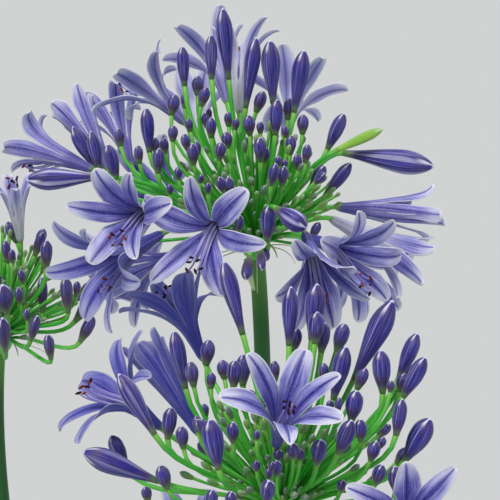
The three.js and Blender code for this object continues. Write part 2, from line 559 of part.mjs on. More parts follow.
function makeHead(head) {
  const tip = vector(...head.tip);
  const placed = (spec) => {
    return { ...spec, foot: leaning(...spec.foot).add(tip), axis: aim(spec.heading, spec.lean) };
  };
  const flowers = head.flowers.map(placed);
  const large = head.buds.map(placed);
  const small = spiralBuds(head, tip, flowers, large);
  const levels = [-0.85, -0.3, 0.5, 0.9].map((height) => ({
    centre: tip.clone().add(vector(0, 0, height * scape.knobRadius)),
    tangent: vector(0, 0, 1),
    radius: scape.knobRadius * Math.sqrt(1 - height * height),
    sides: scape.sides,
  }));
  const green = [scapeSolid(head, 0), closed(skin(carried(levels)))];
  for (const one of flowers) {
    green.push(closed(skin(carried(pedicelStations(tip, one.foot, one.axis, pedicel.radius, 3)))));
  }
  for (const one of [...large, ...small]) green.push(budOnPedicel(tip, one));
  const meshes = [toMesh(`${head.name}_umbel`, joined(green), hue.stalk)];
  flowers.forEach((one, i) => {
    const name = `${head.name}_flower_${String(i + 1).padStart(2, '0')}`;
    meshes.push(toMesh(name, flower(one.foot, one.axis, one, 100 * (head.shoot + 1) + i), hue.petal));
  });
  return meshes;
}

// ---- leaves ----

// One strap leaf: it rises from the neck, then arches over; its section is a shallow channel.
function strapLeaf(root, bearing, rise, fall, length, halfWidth) {
  const out = vector(Math.cos(bearing), Math.sin(bearing), 0);
  const side = vector(-Math.sin(bearing), Math.cos(bearing), 0);
  const rings = [];
  const centre = root.clone();
  const steps = leaf.stepsInRow * leaf.rows;
  for (let i = 0; i <= steps; i += 1) {
    const t = i / steps;
    const angle = degrees(rise - fall * t ** leaf.archPower);
    if (i > 0) centre.addScaledVector(out, (length / steps) * Math.cos(angle));
    if (i > 0) centre.z += (length / steps) * Math.sin(angle);
    if (i === steps) rings.push([centre.clone()]);
    if (i % leaf.stepsInRow !== 0 || i === steps) continue;
    const normal = out.clone().multiplyScalar(-Math.sin(angle)).setZ(Math.cos(angle));
    const half = halfWidth * Math.min(1, 0.6 + 1.2 * t) * Math.sqrt(1 - t ** 5);
    rings.push([
      centre.clone().addScaledVector(side, half).addScaledVector(normal, leaf.channel * half),
      centre.clone().addScaledVector(normal, leaf.thickness / 2),
      centre.clone().addScaledVector(side, -half).addScaledVector(normal, leaf.channel * half),
      centre.clone().addScaledVector(normal, -leaf.thickness / 2),
    ]);
  }
  return closed(skin(rings));
}

// The neck of a shoot, oval across the way its leaves spread.
function neckSolid(shoot, extra) {
  const outward = onCircle(shoot.bearing, 1, 0);
  const across = onCircle(shoot.bearing + 90, 1, 0);
  const level = (height, share) => {
    const centre = onCircle(shoot.bearing, shootCircle, soilLevel + height);
    return Array.from({ length: neck.sides }, (_, k) => {
      const angle = (k / neck.sides) * Math.PI * 2;
      return centre.clone()
        .addScaledVector(outward, (share * neck.halfDepth + extra) * Math.cos(angle))
        .addScaledVector(across, (share * neck.halfWidth + extra) * Math.sin(angle));
    });
  };
  return closed(skin([level(-neck.planted - extra, 1), level(neck.rise, neck.taper)]));
}

// Leaves of the two ranks come in turn, the outermost first: it starts lowest and arches furthest.
function leafFan(shoot) {
  const random = randomFrom(shoot.seed);
  const solids = [neckSolid(shoot, 0)];
  for (let i = 0; i < shoot.leaves; i += 1) {
    const rank = i % 2 === 0 ? 1 : -1;
    const inward = Math.floor(i / 2);
    const bearing = degrees(shoot.bearing + rank * (leaf.rankAngle - 12 * inward) + 7 * (random() - 0.5));
    const height = leaf.firstHeight + leaf.spacing * inward;
    const start = onCircle(shoot.bearing, shootCircle, soilLevel + height)
      .add(onCircle(shoot.bearing + 90, rank * (8 - 2 * inward), 0));
    const rise = leaf.rise + 6 * inward;
    const fall = leaf.fall - 26 * inward + 10 * random();
    const length = leaf.length - leaf.shorter * (0.3 * inward + 0.35 * random());
    solids.push(strapLeaf(start, bearing, rise, fall, length, leaf.halfWidth * (0.85 + 0.25 * random())));
  }
  return joined(solids);
}

// ---- pot and soil ----

const wallSlope = (pot.shoulderRadius - pot.footRadius) / (pot.height - pot.rimBand);
const innerRadius = (z) => pot.footRadius + wallSlope * z - pot.wall;

function lathe(profile) {
  const points = profile.map(([radius, z]) => new THREE.Vector2(radius, z));
  return toSolid(new THREE.LatheGeometry(points, pot.sides).rotateX(Math.PI / 2));
}

function makePot() {
  const shoulder = pot.height - pot.rimBand;
  let clay = lathe([
    [0, 0], [pot.footRadius, 0], [pot.shoulderRadius, shoulder], [pot.rimRadius - pot.rimDraft, shoulder],
    [pot.rimRadius, pot.height], [innerRadius(pot.height), pot.height], [innerRadius(pot.floor), pot.floor],
    [0, pot.floor],
  ]);
  for (let i = 0; i < pot.drainHoles; i += 1) {
    const drain = new THREE.CylinderGeometry(pot.drainRadius, pot.drainRadius, 3 * pot.floor, 8);
    drain.rotateX(Math.PI / 2);
    const place = onCircle(((i + 0.5) / pot.drainHoles) * 360, pot.drainCircle, 0);
    drain.translate(place.x, place.y, place.z);
    clay = clay.subtract(toSolid(drain));
  }
  return toMesh('pot', clay, hue.clay);
}

function makeSoil() {
  const bottom = pot.floor + seatGap;
  let earth = lathe([
    [0, bottom], [innerRadius(bottom) - soil.gap, bottom], [innerRadius(soilLevel) - soil.gap, soilLevel],
    [0.55 * pot.rimRadius, soilLevel + soil.dome], [0, soilLevel + soil.dome],
  ]);
  for (const shoot of shoots) earth = earth.subtract(neckSolid(shoot, seatGap));
  for (const head of heads) earth = earth.subtract(scapeSolid(head, seatGap));
  return toMesh('soil', earth, hue.soil);
}

// ---- the plant ----

const plant = new THREE.Group();
plant.name = 'agapanthus';
plant.add(makePot(), makeSoil());
for (const shoot of shoots) plant.add(toMesh(shoot.name, leafFan(shoot), hue.leaf));
for (const head of heads) plant.add(...makeHead(head));

export default plant;
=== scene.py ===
import bpy
import numpy as np
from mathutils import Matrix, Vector


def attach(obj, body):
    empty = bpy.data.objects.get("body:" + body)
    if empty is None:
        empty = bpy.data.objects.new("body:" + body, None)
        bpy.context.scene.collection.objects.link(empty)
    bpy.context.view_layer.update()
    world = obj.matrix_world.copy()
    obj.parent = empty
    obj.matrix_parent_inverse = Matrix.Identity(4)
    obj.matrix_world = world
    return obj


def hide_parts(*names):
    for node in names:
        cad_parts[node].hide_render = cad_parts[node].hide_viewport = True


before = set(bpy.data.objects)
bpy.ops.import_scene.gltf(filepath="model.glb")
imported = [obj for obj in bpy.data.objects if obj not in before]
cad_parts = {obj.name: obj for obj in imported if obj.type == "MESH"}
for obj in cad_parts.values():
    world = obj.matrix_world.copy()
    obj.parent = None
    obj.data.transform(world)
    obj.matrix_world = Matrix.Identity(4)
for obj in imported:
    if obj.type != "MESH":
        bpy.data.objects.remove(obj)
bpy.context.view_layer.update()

# An agapanthus in a clay pot. Shapes are worked out in millimetres and turned into metres in build().

# The camera leans down 20 degrees, and the heads are laid out in the same leaning frame:
# across is +X, up leans away from the camera, back points away from it.
leanBack = np.radians(20)
headFrame = np.array([
    [1, 0, 0],
    [0, np.sin(leanBack), np.cos(leanBack)],
    [0, np.cos(leanBack), -np.sin(leanBack)],
])
upward = np.array([0, 0, 1.0])
fullTurn, quarterTurn, goldenAngle = 6.2832, 1.5708, 137.508
seatGap = 0.3


def leaning(place):  # across, up and back turned into x, y and z
    return np.asarray(place, float) @ headFrame


def direction(bearing, elevation):  # both in radians
    flat = np.cos(elevation)
    return np.stack([flat * np.cos(bearing), flat * np.sin(bearing), np.sin(elevation)], -1)


def aim(heading, lean):  # a heading in the across-up plane, leaned to the camera, in degrees
    return leaning(direction(np.radians(heading), -np.radians(lean)))


def onCircle(bearing, radius, z):
    return np.array([radius * np.cos(np.radians(bearing)), radius * np.sin(np.radians(bearing)), z])


def unit(v):
    return v / np.linalg.norm(v, axis=-1, keepdims=True)


def smooth(x, low, high):
    t = np.clip((x - low) / (high - low), 0, 1)
    return t * t * (3 - 2 * t)


def late(x, low):  # 0 up to low, then ever faster up to 1
    return np.clip((x - low) / (1 - low), 0, 1) ** 2


def between(low, high, share):
    return low + (high - low) * share


def ring(sides):  # a ring's angles, and its points' x and y at radius 1
    angle = np.arange(sides) * 2 * np.pi / sides
    return angle, np.cos(angle), np.sin(angle)


def linear(*colour):  # a screen colour, 0 to 255, as the shader's linear numbers
    return tuple((c / 255) ** 2.2 for c in colour) + (1.0,)


# The generator that also places the solids, so that each piece lies on its own solid.
class Draw:
    largest = 2147483647

    def __init__(self, seed):
        self.state = seed

    def __call__(self):
        self.state = self.state * 48271 % self.largest
        return self.state / self.largest


# Many closed tubes at once. points is pieces x rows x sides x 3, each row a ring that runs counterclockwise
# about the way it goes; poles is pieces x 2 x 3, the point that shuts each end, or else its ring's middle.
# along has one number more at each end than there are rows, and around one more than a ring has points:
# together they are the UV map.
def tubes(points, along, around=None, poles=None, finish=0, **marks):
    pieces, rows, sides = points.shape[:3]
    around = np.linspace(0, 1, sides + 1) if around is None else around
    poles = points[:, [0, -1]].mean(2) if poles is None else poles
    size = rows * sides + 2
    i, j = np.meshgrid(np.arange(rows - 1), np.arange(sides), indexing="ij")
    k = (j + 1) % sides
    quads = np.stack([j, k, sides + k, sides + j], -1) + i[..., None] * sides
    quadU = np.stack([around[j], around[j + 1], around[j + 1], around[j]], -1)
    quadV = np.stack([along[i + 1], along[i + 1], along[i + 2], along[i + 2]], -1)
    j, k = j[0], k[0]
    top = (rows - 1) * sides
    fans = np.concatenate([
        np.stack([np.full(sides, size - 2), k, j], -1),
        np.stack([np.full(sides, size - 1), top + j, top + k], -1),
    ])
    here, after = around[j], around[j + 1]
    middle = (here + after) / 2
    fanU = np.concatenate([np.stack([middle, after, here], -1), np.stack([middle, here, after], -1)])
    fanV = np.repeat([along[[0, 1, 1]], along[[-1, -2, -2]]], sides, axis=0)
    step = np.arange(pieces)[:, None] * size
    faces = (quads.size // 4 * pieces, len(fans) * pieces)
    made = {
        "verts": np.concatenate([points.reshape(pieces, rows * sides, 3), poles], axis=1).reshape(-1, 3),
        "corners": np.concatenate([(step + quads.ravel()).ravel(), (step + fans.ravel()).ravel()]),
        "sizes": np.repeat([4, 3], faces),
        "finishes": np.full(sum(faces), finish),
        "uv": np.concatenate([
            np.tile(np.stack(uv, -1).reshape(-1, 2), (pieces, 1)) for uv in ((quadU, quadV), (fanU, fanV))
        ]),
        "marks": {},
    }
    for name, value in marks.items():
        rings = np.broadcast_to(value, (pieces, rows, sides))
        ends = rings[:, [0, -1]].mean(-1)
        made["marks"][name] = np.concatenate([rings.reshape(pieces, -1), ends], axis=1).ravel()
    return made


def add(name, data, **settings):
    for key, value in settings.items():
        setattr(data, key, value)
    placed = bpy.data.objects.new(name, data)
    bpy.context.scene.collection.objects.link(placed)
    return placed


# One object from several sets of tubes, in metres, riding on the only body there is.
def build(name, sets, kinds, slot, *nodes):
    mesh = bpy.data.meshes.new(name)
    counts = np.array([len(s["verts"]) for s in sets])
    verts, corners, sizes, chosen, uv = (
        np.concatenate([s[part] for s in sets]) for part in ("verts", "corners", "sizes", "finishes", "uv")
    )
    corners += np.repeat(np.cumsum(counts) - counts, [len(s["corners"]) for s in sets])
    mesh.vertices.add(len(verts))
    mesh.vertices.foreach_set("co", verts.ravel() * 0.001)
    mesh.loops.add(len(corners))
    mesh.loops.foreach_set("vertex_index", corners.astype(np.int32))
    mesh.polygons.add(len(sizes))
    mesh.polygons.foreach_set("loop_start", (np.cumsum(sizes) - sizes).astype(np.int32))
    mesh.polygons.foreach_set("material_index", chosen.astype(np.int32))
    mesh.update(calc_edges=True)
    mesh.uv_layers.new(name="UVMap").data.foreach_set("uv", uv.ravel())
    for mark in sorted({m for s in sets for m in s["marks"]}):
        values = [s["marks"].get(mark, np.zeros(len(s["verts"]))) for s in sets]
        mesh.attributes.new(mark, "FLOAT", "POINT").data.foreach_set("value", np.concatenate(values))
    for kind in kinds:
        mesh.materials.append(finishes[kind].material)
    mesh.shade_smooth()
    piece = add(name, mesh)
    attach(piece, "root")
    if nodes:
        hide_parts(*nodes)
    return piece


# How far each row of a path has come, from 0: the strides add up.
def walked(strides):
    return np.cumsum(np.pad(strides, ((0, 0), (1, 0))), 1)


# Sections on paths: each point's path place, plus x to its side and y along its normal.
def sections(path, side, normal, x, y):
    return path[:, :, None] + x[..., None] * side[:, :, None] + y[..., None] * normal[:, :, None]


# Rings carried along paths without twist. path is pieces x rows x 3; x and y are each section's offsets
# to its side and to the side after it, pieces x rows x sides.
def carried(path, x, y):
    tangent = unit(np.gradient(path, axis=1))
    side = np.broadcast_to([1.0, 0, 0], tangent[:, 0].shape)
    carriedSides = []
    for row in range(path.shape[1]):
        way = tangent[:, row]
        side = unit(side - way * (side * way).sum(-1, keepdims=True))
        carriedSides.append(side)
    side = np.stack(carriedSides, 1)
    return sections(path, side, np.cross(tangent, side), x, y)


# Round rods: radius is pieces x rows, or fewer numbers. The poles stand half a radius beyond the ends.
def rods(path, radius, sides, finish=0, **marks):
    radius = np.broadcast_to(radius, path.shape[:2])[..., None]
    _, x, y = ring(sides)
    beyond = unit(np.gradient(path, axis=1)) * radius * 0.5
    poles = np.stack([path[:, 0] - beyond[:, 0], path[:, -1] + beyond[:, -1]], 1)
    along = np.r_[0, np.linspace(0, 1, path.shape[1]), 1]
    return tubes(carried(path, radius * x, radius * y), along, None, poles, finish, **marks)


def bezier(a, b, c, d, rows):  # smooth curves from a to d, pulled towards b and c
    t = np.linspace(0, 1, rows)[:, None]
    a, b, c, d = (np.asarray(p)[..., None, :] for p in (a, b, c, d))
    return a * (1 - t) ** 3 + 3 * b * t * (1 - t) ** 2 + 3 * c * t * t * (1 - t) + d * t ** 3


# A number that varies over a surface; arithmetic on it adds Math nodes to its finish.
class Field:
    def __init__(self, finish, socket):
        self.finish = finish
        self.socket = socket

    def math(self, operation, *values):
        return self.finish.node("Math", {"operation": operation}, dict(enumerate(values)))

    def __add__(self, other):
        return self.math("ADD", self, other)

    def __sub__(self, other):
        return self.math("SUBTRACT", self, other)

    def __rsub__(self, other):
        return self.math("SUBTRACT", other, self)

    def __mul__(self, other):
        return self.math("MULTIPLY", self, other)

    __radd__, __rmul__ = __add__, __mul__  # the same either way round

    def __abs__(self):
        return self.math("ABSOLUTE", self)

    def cos(self):
        return self.math("COSINE", self)

    def over(self, low, high):  # 0 below low, 1 above high, smooth between them
        return self.finish.node("MapRange", {"interpolation_type": "SMOOTHSTEP"}, {0: self, 1: low, 2: high})

    def under(self, low, high):
        return 1 - self.over(low, high)


class Finish:
    def __init__(self, name, **fixed):
        self.material = bpy.data.materials.new(name)
        self.material.use_nodes = True
        self.tree = self.material.node_tree
        self.shader = self.tree.nodes["Principled BSDF"]
        for socket, value in fixed.items():
            self.shader.inputs[socket.replace("_", " ")].default_value = value

    def node(self, kind, settings={}, values={}, output=0):
        made = self.tree.nodes.new("ShaderNode" + kind)
        for key, value in settings.items():
            setattr(made, key, value)
        for key, value in values.items():
            self.feed(value, made.inputs[key])
        return Field(self, made.outputs[output])

    def feed(self, value, socket):
        if isinstance(value, Field):
            self.tree.links.new(value.socket, socket)
        else:
            socket.default_value = value

    def uv(self):
        flat = self.node("UVMap", {"uv_map": "UVMap"})
        return self.node("SeparateXYZ", {}, {0: flat}), self.node("SeparateXYZ", {}, {0: flat}, 1)

    def mark(self, name):
        return self.node("Attribute", {"attribute_name": name}, {}, "Fac")

    def place(self):
        return self.node("TexCoord", {}, {}, "Object")

    def vector(self, x, y, z):
        return self.node("CombineXYZ", {}, {0: x, 1: y, 2: z})

    def noise(self, where, scale, detail=2.0):
        return self.node("TexNoise", {}, {"Vector": where, "Scale": scale, "Detail": detail})

    # Screen colours laid over a first one in turn, each where its share says.
    def coats(self, first, *coats):
        colour = linear(*first)
        for coat, share in coats:
            colour = self.node("Mix", {"data_type": "RGBA"}, {0: share, 6: colour, 7: linear(*coat)}, 2)
        return colour

    # The varying colour, roughness and relief; relief is a height in metres.
    def paint(self, colour, roughness=None, relief=None, strength=0.5):
        self.feed(colour, self.shader.inputs["Base Color"])
        if roughness is not None:
            self.feed(roughness, self.shader.inputs["Roughness"])
        if relief is not None:
            bump = self.node("Bump", {}, {"Height": relief, "Strength": strength, "Distance": 1.0})
            self.feed(bump, self.shader.inputs["Normal"])
        return self


tube = {"length": 13, "footRadius": 0.9, "ovaryRadius": 1.6, "mouthRadius": 3.7, "rootDepth": 1.1}
tepal = {
    "length": 37, "outerLength": 1.03, "innerLength": 0.97, "outerHalfWidth": 4.8, "innerHalfWidth": 6.3,
    "shares": (0.9, 1.1), "bends": (-2.5, 2.5), "hooks": (12, 28),
    "thickness": 0.9, "clear": 0.25, "rise": 9, "closed": 12, "spread": 66, "curl": 1.9, "flatten": 1.1,
    "widestAt": 0.58, "narrowest": 0.25, "cup": 0.16, "rootCup": 0.32, "hood": 0.5, "hoodFrom": 0.8,
    "hookFrom": 0.75, "wave": 0.09, "twist": 12, "midrib": 0.28,
}
tepalColours = {
    "body": (78, 73, 165), "pale": (197, 195, 247), "stripe": (40, 35, 122), "shade": (52, 49, 142),
    "edge": (240, 240, 251), "tip": (250, 250, 254), "throat": (236, 232, 249), "tube": (74, 69, 152),
    # blue is painted shade, for flowers that lie in shade
    "blue": (57, 63, 168), "foot": (150, 176, 104), "silver": (207, 202, 255),
}
# per-flower marks: blue is painted shade, white a colour, pale partly a colour and partly painted light
tepalMarks = ("blue", "white", "pale")
bloomSheen = linear(226, 226, 250)


def makePetalFinish():
    c = tepalColours
    f = Finish(
        "petal", Roughness=0.48, Specular_IOR_Level=0.4,
        Subsurface_Weight=0.3, Subsurface_Scale=0.003, Subsurface_Radius=(0.6, 0.6, 1.0),
        Sheen_Weight=0.14, Sheen_Roughness=0.4, Sheen_Tint=bloomSheen,
    )
    u, v = f.uv()
    across = abs(u * 2 - 1)  # 0 on the midline, 1 at the margin
    front = f.mark("front").over(-0.3, 0.3)
    tone, pale = f.mark("tone"), f.mark("pale")
    limb = v.over(0.22, 0.36)
    streaks = f.noise(f.vector(u * 9, v * 0.9, tone * 40), 2.2, 3)
    threads = f.noise(f.vector(u * 22, v * 1.1, tone * 23), 2.0, 2)
    clouds = f.noise(f.vector(u * 1.5, v * 2.5, tone * 17 + 5), 1.6, 2)
    grain = f.noise(f.place(), 1300, 2)  # fine grains: painted silvery glints in the colour, and a fine relief
    # flank: where the pale flanks lie, with their painted sheen
    flank = across.over(0.1, 0.5) * limb * (0.3 + 0.7 * v.over(0.48, 0.8))
    stripe = across.under(0.02, 0.15) * v.over(0.2, 0.42) * v.under(0.84, 0.95)
    mouth = front * v.over(0.18, 0.26) * v.under(0.27, 0.38) * across.over(0.15, 0.4)
    colour = f.coats(
        c["body"],
        # silver, by the pale share: partly the flower's paler colour, partly painted light shining through
        # tepals lit from behind
        (c["silver"], pale * (1 - across.under(0.05, 0.3) * 0.35)),
        # pale flanks: partly the tepal's own paler flanks, partly a painted silvery sheen
        (c["pale"], flank * (0.5 + 0.5 * front) * (clouds * 2.6 - 0.7)),
        (c["shade"], streaks.over(0.48, 0.66) * 0.55),
        (c["pale"], streaks.under(0.32, 0.46) * 0.5),
        (c["shade"], threads.over(0.52, 0.66) * 0.42),
        (c["pale"], threads.under(0.34, 0.46) * 0.3),
        (c["stripe"], stripe * (0.85 - 0.1 * front) * (1 - pale * 0.5)),
        (c["throat"], mouth * 0.5),
        (c["tube"], (1 - front) * (1 - limb) * (0.4 + 0.4 * across.under(0.2, 0.8))),
        (c["throat"], f.mark("white") * v.under(0.35, 0.8) * 0.95),
        # whiter tip thirds: partly the tepals' pale tips, partly a painted highlight
        (c["edge"], v.over(0.76, 0.98) * (0.35 + 0.45 * clouds) * across.over(0.03, 0.25)),
        # painted glints: fine pale grains over the limb
        (c["pale"], grain.over(0.5, 0.75) * limb * 0.24),
        (c["shade"], pale * across.under(0.1, 0.65) * limb * 0.3),
        (c["edge"], across.over(0.88 - pale * 0.22, 0.97) * limb * 0.85),
        (c["tip"], v.over(0.968, 0.995) * 0.8),
        # painted shade: a flower that lies in shade turns darker and bluer by its blue share
        (c["blue"], f.mark("blue") * (1 - streaks.under(0.3, 0.5) * 0.25)),
        (c["foot"], v.under(0.0, 0.045) * 0.7),
    )
    ribs = streaks * 0.0003 + threads * 0.00022 + grain * 0.00012
    return f.paint(colour, relief=ribs - across.under(0.0, 0.1) * limb * 0.0002, strength=0.6)


# A tepal's midline leaves the tube nearly in line with it, turns outwards by spread, late in a bell and early
# in an open flower, and its tip hooks back. Its rows start at the foot, with the tube's part of it.
def tepalMidlines(flower, number, wide):
    shares = np.reshape(flower.get("spreads", between(*tepal["shares"], number[:, 0])), (6, 1))
    spread = (tepal["closed"] + tepal["spread"] * flower["open"]) * shares
    hook = flower.get("hook", between(*tepal["hooks"], number[:, 2:]))
    longer = np.where(wide, tepal["innerLength"], tepal["outerLength"])[:, None]
    length = tepal["length"] * flower.get("long", 1) * longer
    curl = flower.get("curl", tepal["curl"] - tepal["flatten"] * flower["open"])
    steps = 96
    t = np.linspace(0, 1, steps + 1)
    angle = np.radians(tepal["rise"] + spread * t ** curl + hook * late(t, tepal["hookFrom"]))
    middle = (angle[:, 1:] + angle[:, :-1]) / 2
    away, rise = (walked(part(middle) * length / steps) for part in (np.sin, np.cos))
    picked = np.r_[0:85:5, 87, 90, 92, 94, 95, 96]
    t, angle, away, rise = t[picked], angle[:, picked], away[:, picked], rise[:, picked]
    low = np.r_[0, 0.05, 0.12, 0.22, 0.36, 0.52, 0.68, 0.84]
    throat = tube["mouthRadius"] - 0.5 * tube["rootDepth"]
    ovary = between(tube["footRadius"], tube["ovaryRadius"], smooth(low, 0, 0.2))
    lowRadius = between(ovary, throat, smooth(low, 0.05, 1.5) / smooth(1.0, 0.05, 1.5))
    radius = np.concatenate([np.tile(lowRadius, (6, 1)), throat + away], 1)
    height = np.concatenate([np.tile(low * tube["length"], (6, 1)), tube["length"] + rise], 1)
    angle = np.concatenate([np.full((6, len(low)), np.radians(tepal["rise"])), angle], 1)
    reach = np.r_[low * tube["length"], tube["length"] + tepal["length"] * t]
    return np.r_[0 * low, t], angle, radius, height, reach / (tube["length"] + tepal["length"])


# A tepal's half width grows smoothly from the root and ends bluntly, and leaves room for its neighbours.
def tepalHalfWidths(flower, wide, t, radius, bend):
    widest = np.where(wide, tepal["innerHalfWidth"], tepal["outerHalfWidth"])[:, None] * flower.get("slim", 1)
    blade = widest * between(0.3, 1, smooth(t, 0, tepal["widestAt"])) * np.sqrt(np.clip(1 - t ** 6, 0, 1))
    roomy = (radius + 0.55) * np.tan(np.pi / 6) - tepal["clear"] - 0.5 * abs(bend) * t ** 2
    half = between(radius * 0.6, np.minimum(blade, roomy), smooth(t, 0, 0.16))
    return np.maximum(half, tepal["narrowest"])[..., None]


# A tepal's section is a thin lens, cupped towards the flower's axis, with a midrib behind and waved margins,
# carried along its midline and twisted a little.
def makeTepals(foot, axis, first, second, flower, seed):
    draw = Draw(seed)
    number = np.array([draw() for _ in range(18)]).reshape(6, 3)
    fine = np.random.default_rng(seed)
    wide = np.arange(6) % 2 == 1
    t, angle, radius, height, reach = tepalMidlines(flower, number, wide)
    bend = np.reshape(flower.get("bends", between(*tepal["bends"], number[:, 1])), (6, 1))
    half = tepalHalfWidths(flower, wide, t, radius, bend)
    hood = np.where(wide, 0.35, 1)[:, None] * tepal["hood"] * late(t, tepal["hoodFrom"])
    cup = between(tepal["rootCup"], tepal["cup"], smooth(t, 0, 0.3)) + hood
    _, x, lens = ring(16)
    phase = fine.uniform(0, 2 * np.pi, (6, 1, 2))
    waves = np.sin(2 * np.pi * fine.uniform(1.2, 2.4, (6, 1, 1)) * t[:, None] + phase)
    waves = waves * smooth(t, 0.15, 0.5)[:, None] * tepal["wave"]
    wave = np.where(x > 0, waves[..., :1], waves[..., 1:])
    thick = tepal["thickness"] * (1 - 0.35 * smooth(t, 0.5, 1))[:, None]
    midrib = tepal["midrib"] * np.where(lens < 0, 1, 0.4) * np.exp(-(x / 0.3) ** 2)
    midrib = midrib * (1 - smooth(t, 0.6, 1))[:, None]
    lift = half * x ** 2 * (cup[..., None] + wave) + lens * thick / 2 - midrib
    turn = np.radians(flower["turn"] + 60 * np.arange(6))[:, None]
    out = np.cos(turn) * first + np.sin(turn) * second
    side = np.cross(axis, out)[:, None]
    centre = foot + axis * (seatGap + height)[..., None] + out[:, None] * radius[..., None]
    centre = centre + side * (bend * t ** 2)[..., None]
    normal = axis * np.sin(angle)[..., None] - out[:, None] * np.cos(angle)[..., None]
    tilt = (np.radians(tepal["twist"]) * fine.uniform(-1, 1, (6, 1)) * t)[..., None]
    side = side * np.cos(tilt) + normal * np.sin(tilt)
    normal = normal * np.cos(tilt) - side * np.sin(tilt)
    tone = np.clip(flower["tone"] + fine.uniform(-0.12, 0.12, (6, 1, 1)), 0, 1)
    return tubes(
        sections(centre, side, normal, half * x, lift), np.r_[0, reach, 1], np.r_[x, x[0]] * 0.5 + 0.5,
        front=lens, tone=tone, **{mark: flower[mark] for mark in tepalMarks},
    )


stamen = {
    "length": 33, "radius": 0.55, "sag": 0.42, "anther": 3.1, "antherRadius": 0.62, "start": 0.75,
    "startRadius": 1.7, "shut": 0.75, "uneven": (0.88, 1.06), "styleLonger": 1.08, "styleSlimmer": 0.85,
    "pale": (212, 208, 240), "blue": (156, 148, 216),
    "pollen": (206, 140, 70), "ripe": (132, 62, 36), "spent": (52, 20, 38),
}


def makeFilamentFinish():
    f = Finish("filament", Roughness=0.5, Specular_IOR_Level=0.3)
    _, v = f.uv()
    return f.paint(f.coats(stamen["pale"], (stamen["blue"], v.over(0.1, 0.8))))


def makeAntherFinish():
    f = Finish("anther", Roughness=0.8, Specular_IOR_Level=0.2)
    grain = f.noise(f.place(), 1800, 2)
    return f.paint(f.coats(
        stamen["ripe"],
        (stamen["spent"], f.mark("tone").over(0.1, 0.5)),
        (stamen["pollen"], grain.over(0.6, 0.8) * 0.35),
    ), relief=grain * 0.0002)


# Filaments start inside the tube, run along the flower's axis, sag to its lower side and turn up at the end.
def makeStamens(foot, axis, first, second, flower, seed):
    fine = np.random.default_rng(seed + 5000)
    opened = flower["open"]
    turn = np.radians(flower["turn"] + 60 * np.arange(7))[:, None]
    out = np.cos(turn) * first + np.sin(turn) * second
    out[6] *= 0.2  # the style stands in the middle
    sag = (axis * axis[2] - upward) * stamen["sag"] * smooth(opened, 0.2, 0.9)
    length = stamen["length"] * between(stamen["shut"], 1, opened) * fine.uniform(*stamen["uneven"], (7, 1))
    length[6] *= stamen["styleLonger"]
    loose = fine.uniform(0.2, 1.0, (7, 1)) * between(0.3, 1, opened)
    start = foot + axis * (seatGap + stamen["start"] * tube["length"]) + out * stamen["startRadius"]
    path = bezier(
        start,
        start + axis * 0.36 * length + out * 0.4,
        start + axis * 0.66 * length + sag * length * 1.02 + out * 1.4 * loose,
        start + axis * 0.88 * length + sag * length * 0.82 + out * 2.6 * loose,
        14,
    )
    slim = np.where(np.arange(7) < 6, 1, stamen["styleSlimmer"])[:, None]
    radius = np.linspace(1.15, 0.7, 14) * stamen["radius"] * slim
    tangent = unit(path[:6, -1] - path[:6, -2])
    way = unit(fine.normal(size=(6, 3)) + tangent * 0.3)
    s = np.linspace(-1, 1, 7)
    grains = path[:6, -1][:, None] + way[:, None] * (s * 0.5 * stamen["anther"])[:, None]
    swell = stamen["antherRadius"] * np.sqrt(1 - 0.9 * s ** 2)
    return [rods(path, radius, 6, 1), rods(grains, swell, 6, 2, tone=fine.uniform(0, 1, (6, 1, 1)))]


# One flower: across, up and back from the scape's tip, heading in the across-up plane, lean to the camera,
# turn of the first tepal, and open from 0 to 1. Its own are how late its tepals curl, how far the tips hook
# back, how long and slim they are, each one's share of the usual spread, and each one's sideways bend.
def bloom(across, up, back, heading, lean, turn, opened, **own):
    return {"foot": (across, up, back), "heading": heading, "lean": lean, "turn": turn, "open": opened, **own}
